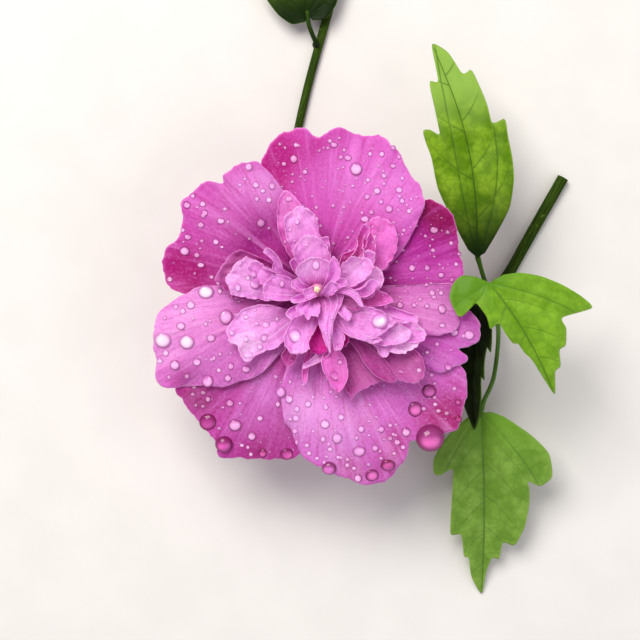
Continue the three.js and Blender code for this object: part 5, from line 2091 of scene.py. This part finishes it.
@dataclass
class Rain:
    """The drops of water on the bloom."""

    tissue: tuple[Shape, ...]  # marked with its colour, how wet it is and how near its edge
    density: float = 260000  # tries in a square metre
    spacing: float = 1.05  # millimetres
    smallest: float = 0.17
    largest: float = 0.74
    steepest: float = 0.45  # least upward share of a face's normal where drops stay
    margin: float = 0.8  # how near the tissue's edge they lie
    skin: BVHTree = field(init=False)  # all the tissue that a drop can lie on
    colours: np.ndarray = field(init=False)  # of its faces

    def __post_init__(self) -> None:
        """Joins the tissue for finding where drops lie."""
        points, faces, start, colours = [], [], 0, []
        for shape in self.tissue:
            points += shape.points.tolist()
            faces += [tuple(i + start for i in face) for face in shape.faces]
            start += len(shape.points)
            colours.append(shape.marks["tissue"][np.array(shape.faces)[:, 0]])
        self.skin = BVHTree.FromPolygons(points, faces)
        self.colours = np.concatenate(colours)

    def build(self) -> None:
        """Lays all the drops."""
        tree = DropTree("drops_in_place", 18, 12, False).build()
        beads = DropTree("beads_in_place", 24, 16, False, height=0.7, sunk=0.35, least=0.95, most=1.05).build()
        rain, lit, rim, fine = (made(w) for w in (RAIN_WATER, LIT_WATER, RIM_WATER, FINE_WATER))
        place_piece(self.placed("rain_drops", DROPS, rain, tree), rain, Slot.WATER)
        place_piece(self.placed("rain_drops_in_light", LIT_DROPS, lit, tree), lit, Slot.WATER)
        place_piece(self.placed("rain_drops_at_rims", RIM_DROPS, rim, tree), rim, Slot.WATER)
        for node, drop in HEAVY_DROPS.items():
            place_piece(self.placed(f"heavy_{node}", (drop,), rim, beads), rim, Slot.WATER, node)
        spread = DropTree("drops_spread", 8, 5, True).build()
        place_piece(self.fine("rain_fine_drops", fine, spread), fine, Slot.WATER)

    def placed(
        self, name: str, drops: Drops, water: bpy.types.Material, tree: bpy.types.NodeTree
    ) -> bpy.types.Mesh:
        """Drops where they show.

        Args:
            name: For the mesh.
            drops: Place and width of each, in view units.
            water: Their finish.
            tree: The tree that makes the domes.

        Returns:
            The drops as one mesh.
        """
        places, upward, sizes, colours = [], [], [], []
        for x, y, width in drops:
            point, normal, face, _ = self.skin.ray_cast(*OUTLOOK.sight((x, y)))
            if point is None:
                log.warning("drop at %s, %s meets nothing", x, y)
                continue
            places.append((np.array(point) + SHIFT) * METRES)
            upward.append(normal if normal.z > 0 else -normal)
            sizes.append(width / 2 * OUTLOOK.step * METRES)
            colours.append(self.colours[face])
        mesh = bpy.data.meshes.new(name)
        mesh.from_pydata([tuple(p) for p in places], [], [])
        mesh.attributes.new("size", "FLOAT", "POINT").data.foreach_set("value", sizes)
        for mark, values in (("upward", upward), ("tissue", colours)):
            flat = np.array(values).ravel()
            mesh.attributes.new(mark, "FLOAT_VECTOR", "POINT").data.foreach_set("vector", flat)
        return grown(mesh, tree, {"Material": water})

    def fine(self, name: str, water: bpy.types.Material, tree: bpy.types.NodeTree) -> bpy.types.Mesh:
        """Small drops over all the faces that look up and have nothing above them.

        Args:
            name: For the mesh.
            water: Their finish.
            tree: The tree that spreads them.

        Returns:
            The drops as one mesh.
        """
        bare = None
        for shape in self.tissue:
            quads = np.array(shape.faces)
            corners = shape.points[quads]
            normals = unit(np.cross(corners[:, 2] - corners[:, 0], corners[:, 3] - corners[:, 1]))
            middles = corners.mean(axis=1) + 0.1 * normals
            up = Vector((0, 0, 1))
            inner = shape.marks["edge"][quads].max(axis=1) < self.margin
            open_sky = [
                flat and n[2] > self.steepest and self.skin.ray_cast(Vector(m), up)[0] is None
                for m, n, flat in zip(middles, normals, inner)
            ]
            faces = [shape.faces[k] for k in np.flatnonzero(open_sky)]
            kept = Shape(shape.points, faces, shape.uv, shape.marks)
            bare = kept if bare is None else bare.joined(kept)
        values = {
            "Material": water,
            "Density": self.density,
            "Spacing": self.spacing * METRES,
            "Smallest": self.smallest * METRES,
            "Largest": self.largest * METRES,
            "Seed": 5,
        }
        return grown(bare.mesh(name), tree, values)


# ---- Studio ----


@dataclass(frozen=True)
class Studio:
    """Plain pale floor, soft light and a camera straight above the bloom."""

    lens: float = 100
    sensor: float = 36

    def build(self) -> None:
        """Makes floor, lights, world and camera."""
        scene = bpy.context.scene
        scene.view_settings.view_transform = "Standard"
        floor = bpy.data.meshes.new("studio_floor")
        side = 1.5
        corners = [(-side, -side, 0), (side, -side, 0), (side, side, 0), (-side, side, 0)]
        floor.from_pydata(corners, [], [(0, 1, 2, 3)])
        floor.materials.append(made(STUDIO_BOARD))
        board = bpy.data.objects.new("studio_floor", floor)
        scene.collection.objects.link(board)
        world = bpy.data.worlds.new("soft_room")
        world.use_nodes = True
        world.node_tree.nodes["Background"].inputs[0].default_value = linear("#efecf0")
        world.node_tree.nodes["Background"].inputs[1].default_value = 0.5
        scene.world = world
        middle = Vector(SHIFT * METRES)
        self.lamp("key", (-0.28, 0.42, 0.75), 0.5, 7.7, middle, "#fffaf2")
        self.lamp("fill", (0.5, -0.3, 0.6), 0.7, 1.3, middle, "#fbf2fb")
        lens = bpy.data.cameras.new("camera")
        lens.lens, lens.sensor_width = self.lens, self.sensor
        lens.clip_start, lens.clip_end = 0.01, 10
        camera = bpy.data.objects.new("camera", lens)
        camera.location = Vector((np.array(OUTLOOK.eye) + SHIFT) * METRES)
        scene.collection.objects.link(camera)
        scene.camera = camera

    @staticmethod
    def lamp(name: str, at: tuple, size: float, power: float, target: Vector, colour: str) -> None:
        """One square soft lamp that faces a target."""
        light = bpy.data.lights.new(name, "AREA")
        light.size, light.energy, light.color = size, power, linear(colour)[:3]
        lamp = bpy.data.objects.new(name, light)
        lamp.location = at
        lamp.rotation_mode = "QUATERNION"
        lamp.rotation_quaternion = (target - Vector(at)).to_track_quat("-Z", "Y")
        bpy.context.scene.collection.objects.link(lamp)


# ---- The shoot ----


@dataclass
class Bloom:
    """The petals and the frilled petaloids."""

    tissue: list[Shape] = field(default_factory=list)  # all of it that is built

    def build(self) -> None:
        """Makes and dresses each petal and petaloid, and the small frills of each colour as one piece."""
        for petal in GUARD_PETALS:
            piece = f"guard_{petal.name}"
            self.dress(petal.shape(), piece, petal.finish, petal.wet, Slot.PETAL, petal.name)
        for frill in PETALOIDS:
            node = f"petaloid_{frill.name}"
            self.dress(frill.shape(), f"frilled_{node}", frill.finish, frill.wet, Slot.PETALOID, node)
        for finish in (BLUSHED, CORAL, DUSTY, DEEP_ROSE):
            whole, *others = [bit.shape() for bit in BITS if bit.finish is finish]
            for other in others:
                whole = whole.joined(other)
            name = finish.name.replace("petaloid, ", "").replace(" ", "_")
            self.dress(whole, f"small_frills_{name}", finish, BITS[0].wet, Slot.PETALOID)

    def dress(
        self, shape: Shape, name: str, finish: PetalFinish, wet: float, slot: Slot, *nodes: str
    ) -> None:
        """Adds one piece of tissue.

        Args:
            shape: Its form.
            name: For the piece.
            finish: For its surface.
            wet: How thickly the fine rain lies on it.
            slot: Passed on to place_piece.
            *nodes: The CAD nodes it stands for.
        """
        damp = np.full(len(shape.points), wet)
        skin = {"edge": shape.marks["edge"], "tissue": finish.seen(shape), "wet": damp}
        self.tissue.append(Shape(shape.points, shape.faces, shape.uv, skin))
        place_piece(shape.mesh(name), made(finish), slot, *nodes)


@dataclass(frozen=True)
class Shoot:
    """The stems and their leaves."""

    stems: tuple[Stem, ...] = STEMS
    leaves: tuple[Leaf, ...] = LEAVES

    def build(self) -> None:
        """Makes and dresses them."""
        for stem in self.stems:
            place_piece(stem.shape().mesh(f"{stem.name}_bark"), made(YOUNG_BARK), Slot.STEM, stem.name)
        for leaf in self.leaves:
            place_piece(leaf.shape().mesh(f"{leaf.name}_blade"), made(leaf.finish), Slot.LEAF, leaf.name)


def main() -> None:
    """Builds the shoot, wets it and lights it."""
    logging.basicConfig(level=logging.INFO, format="%(message)s", stream=sys.stdout)
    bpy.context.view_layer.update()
    bloom = Bloom()
    bloom.build()
    Calyx().build()
    Column().build()
    Shoot().build()
    Rain(tuple(bloom.tissue)).build()
    Studio().build()


if __name__ == "__main__":
    main()
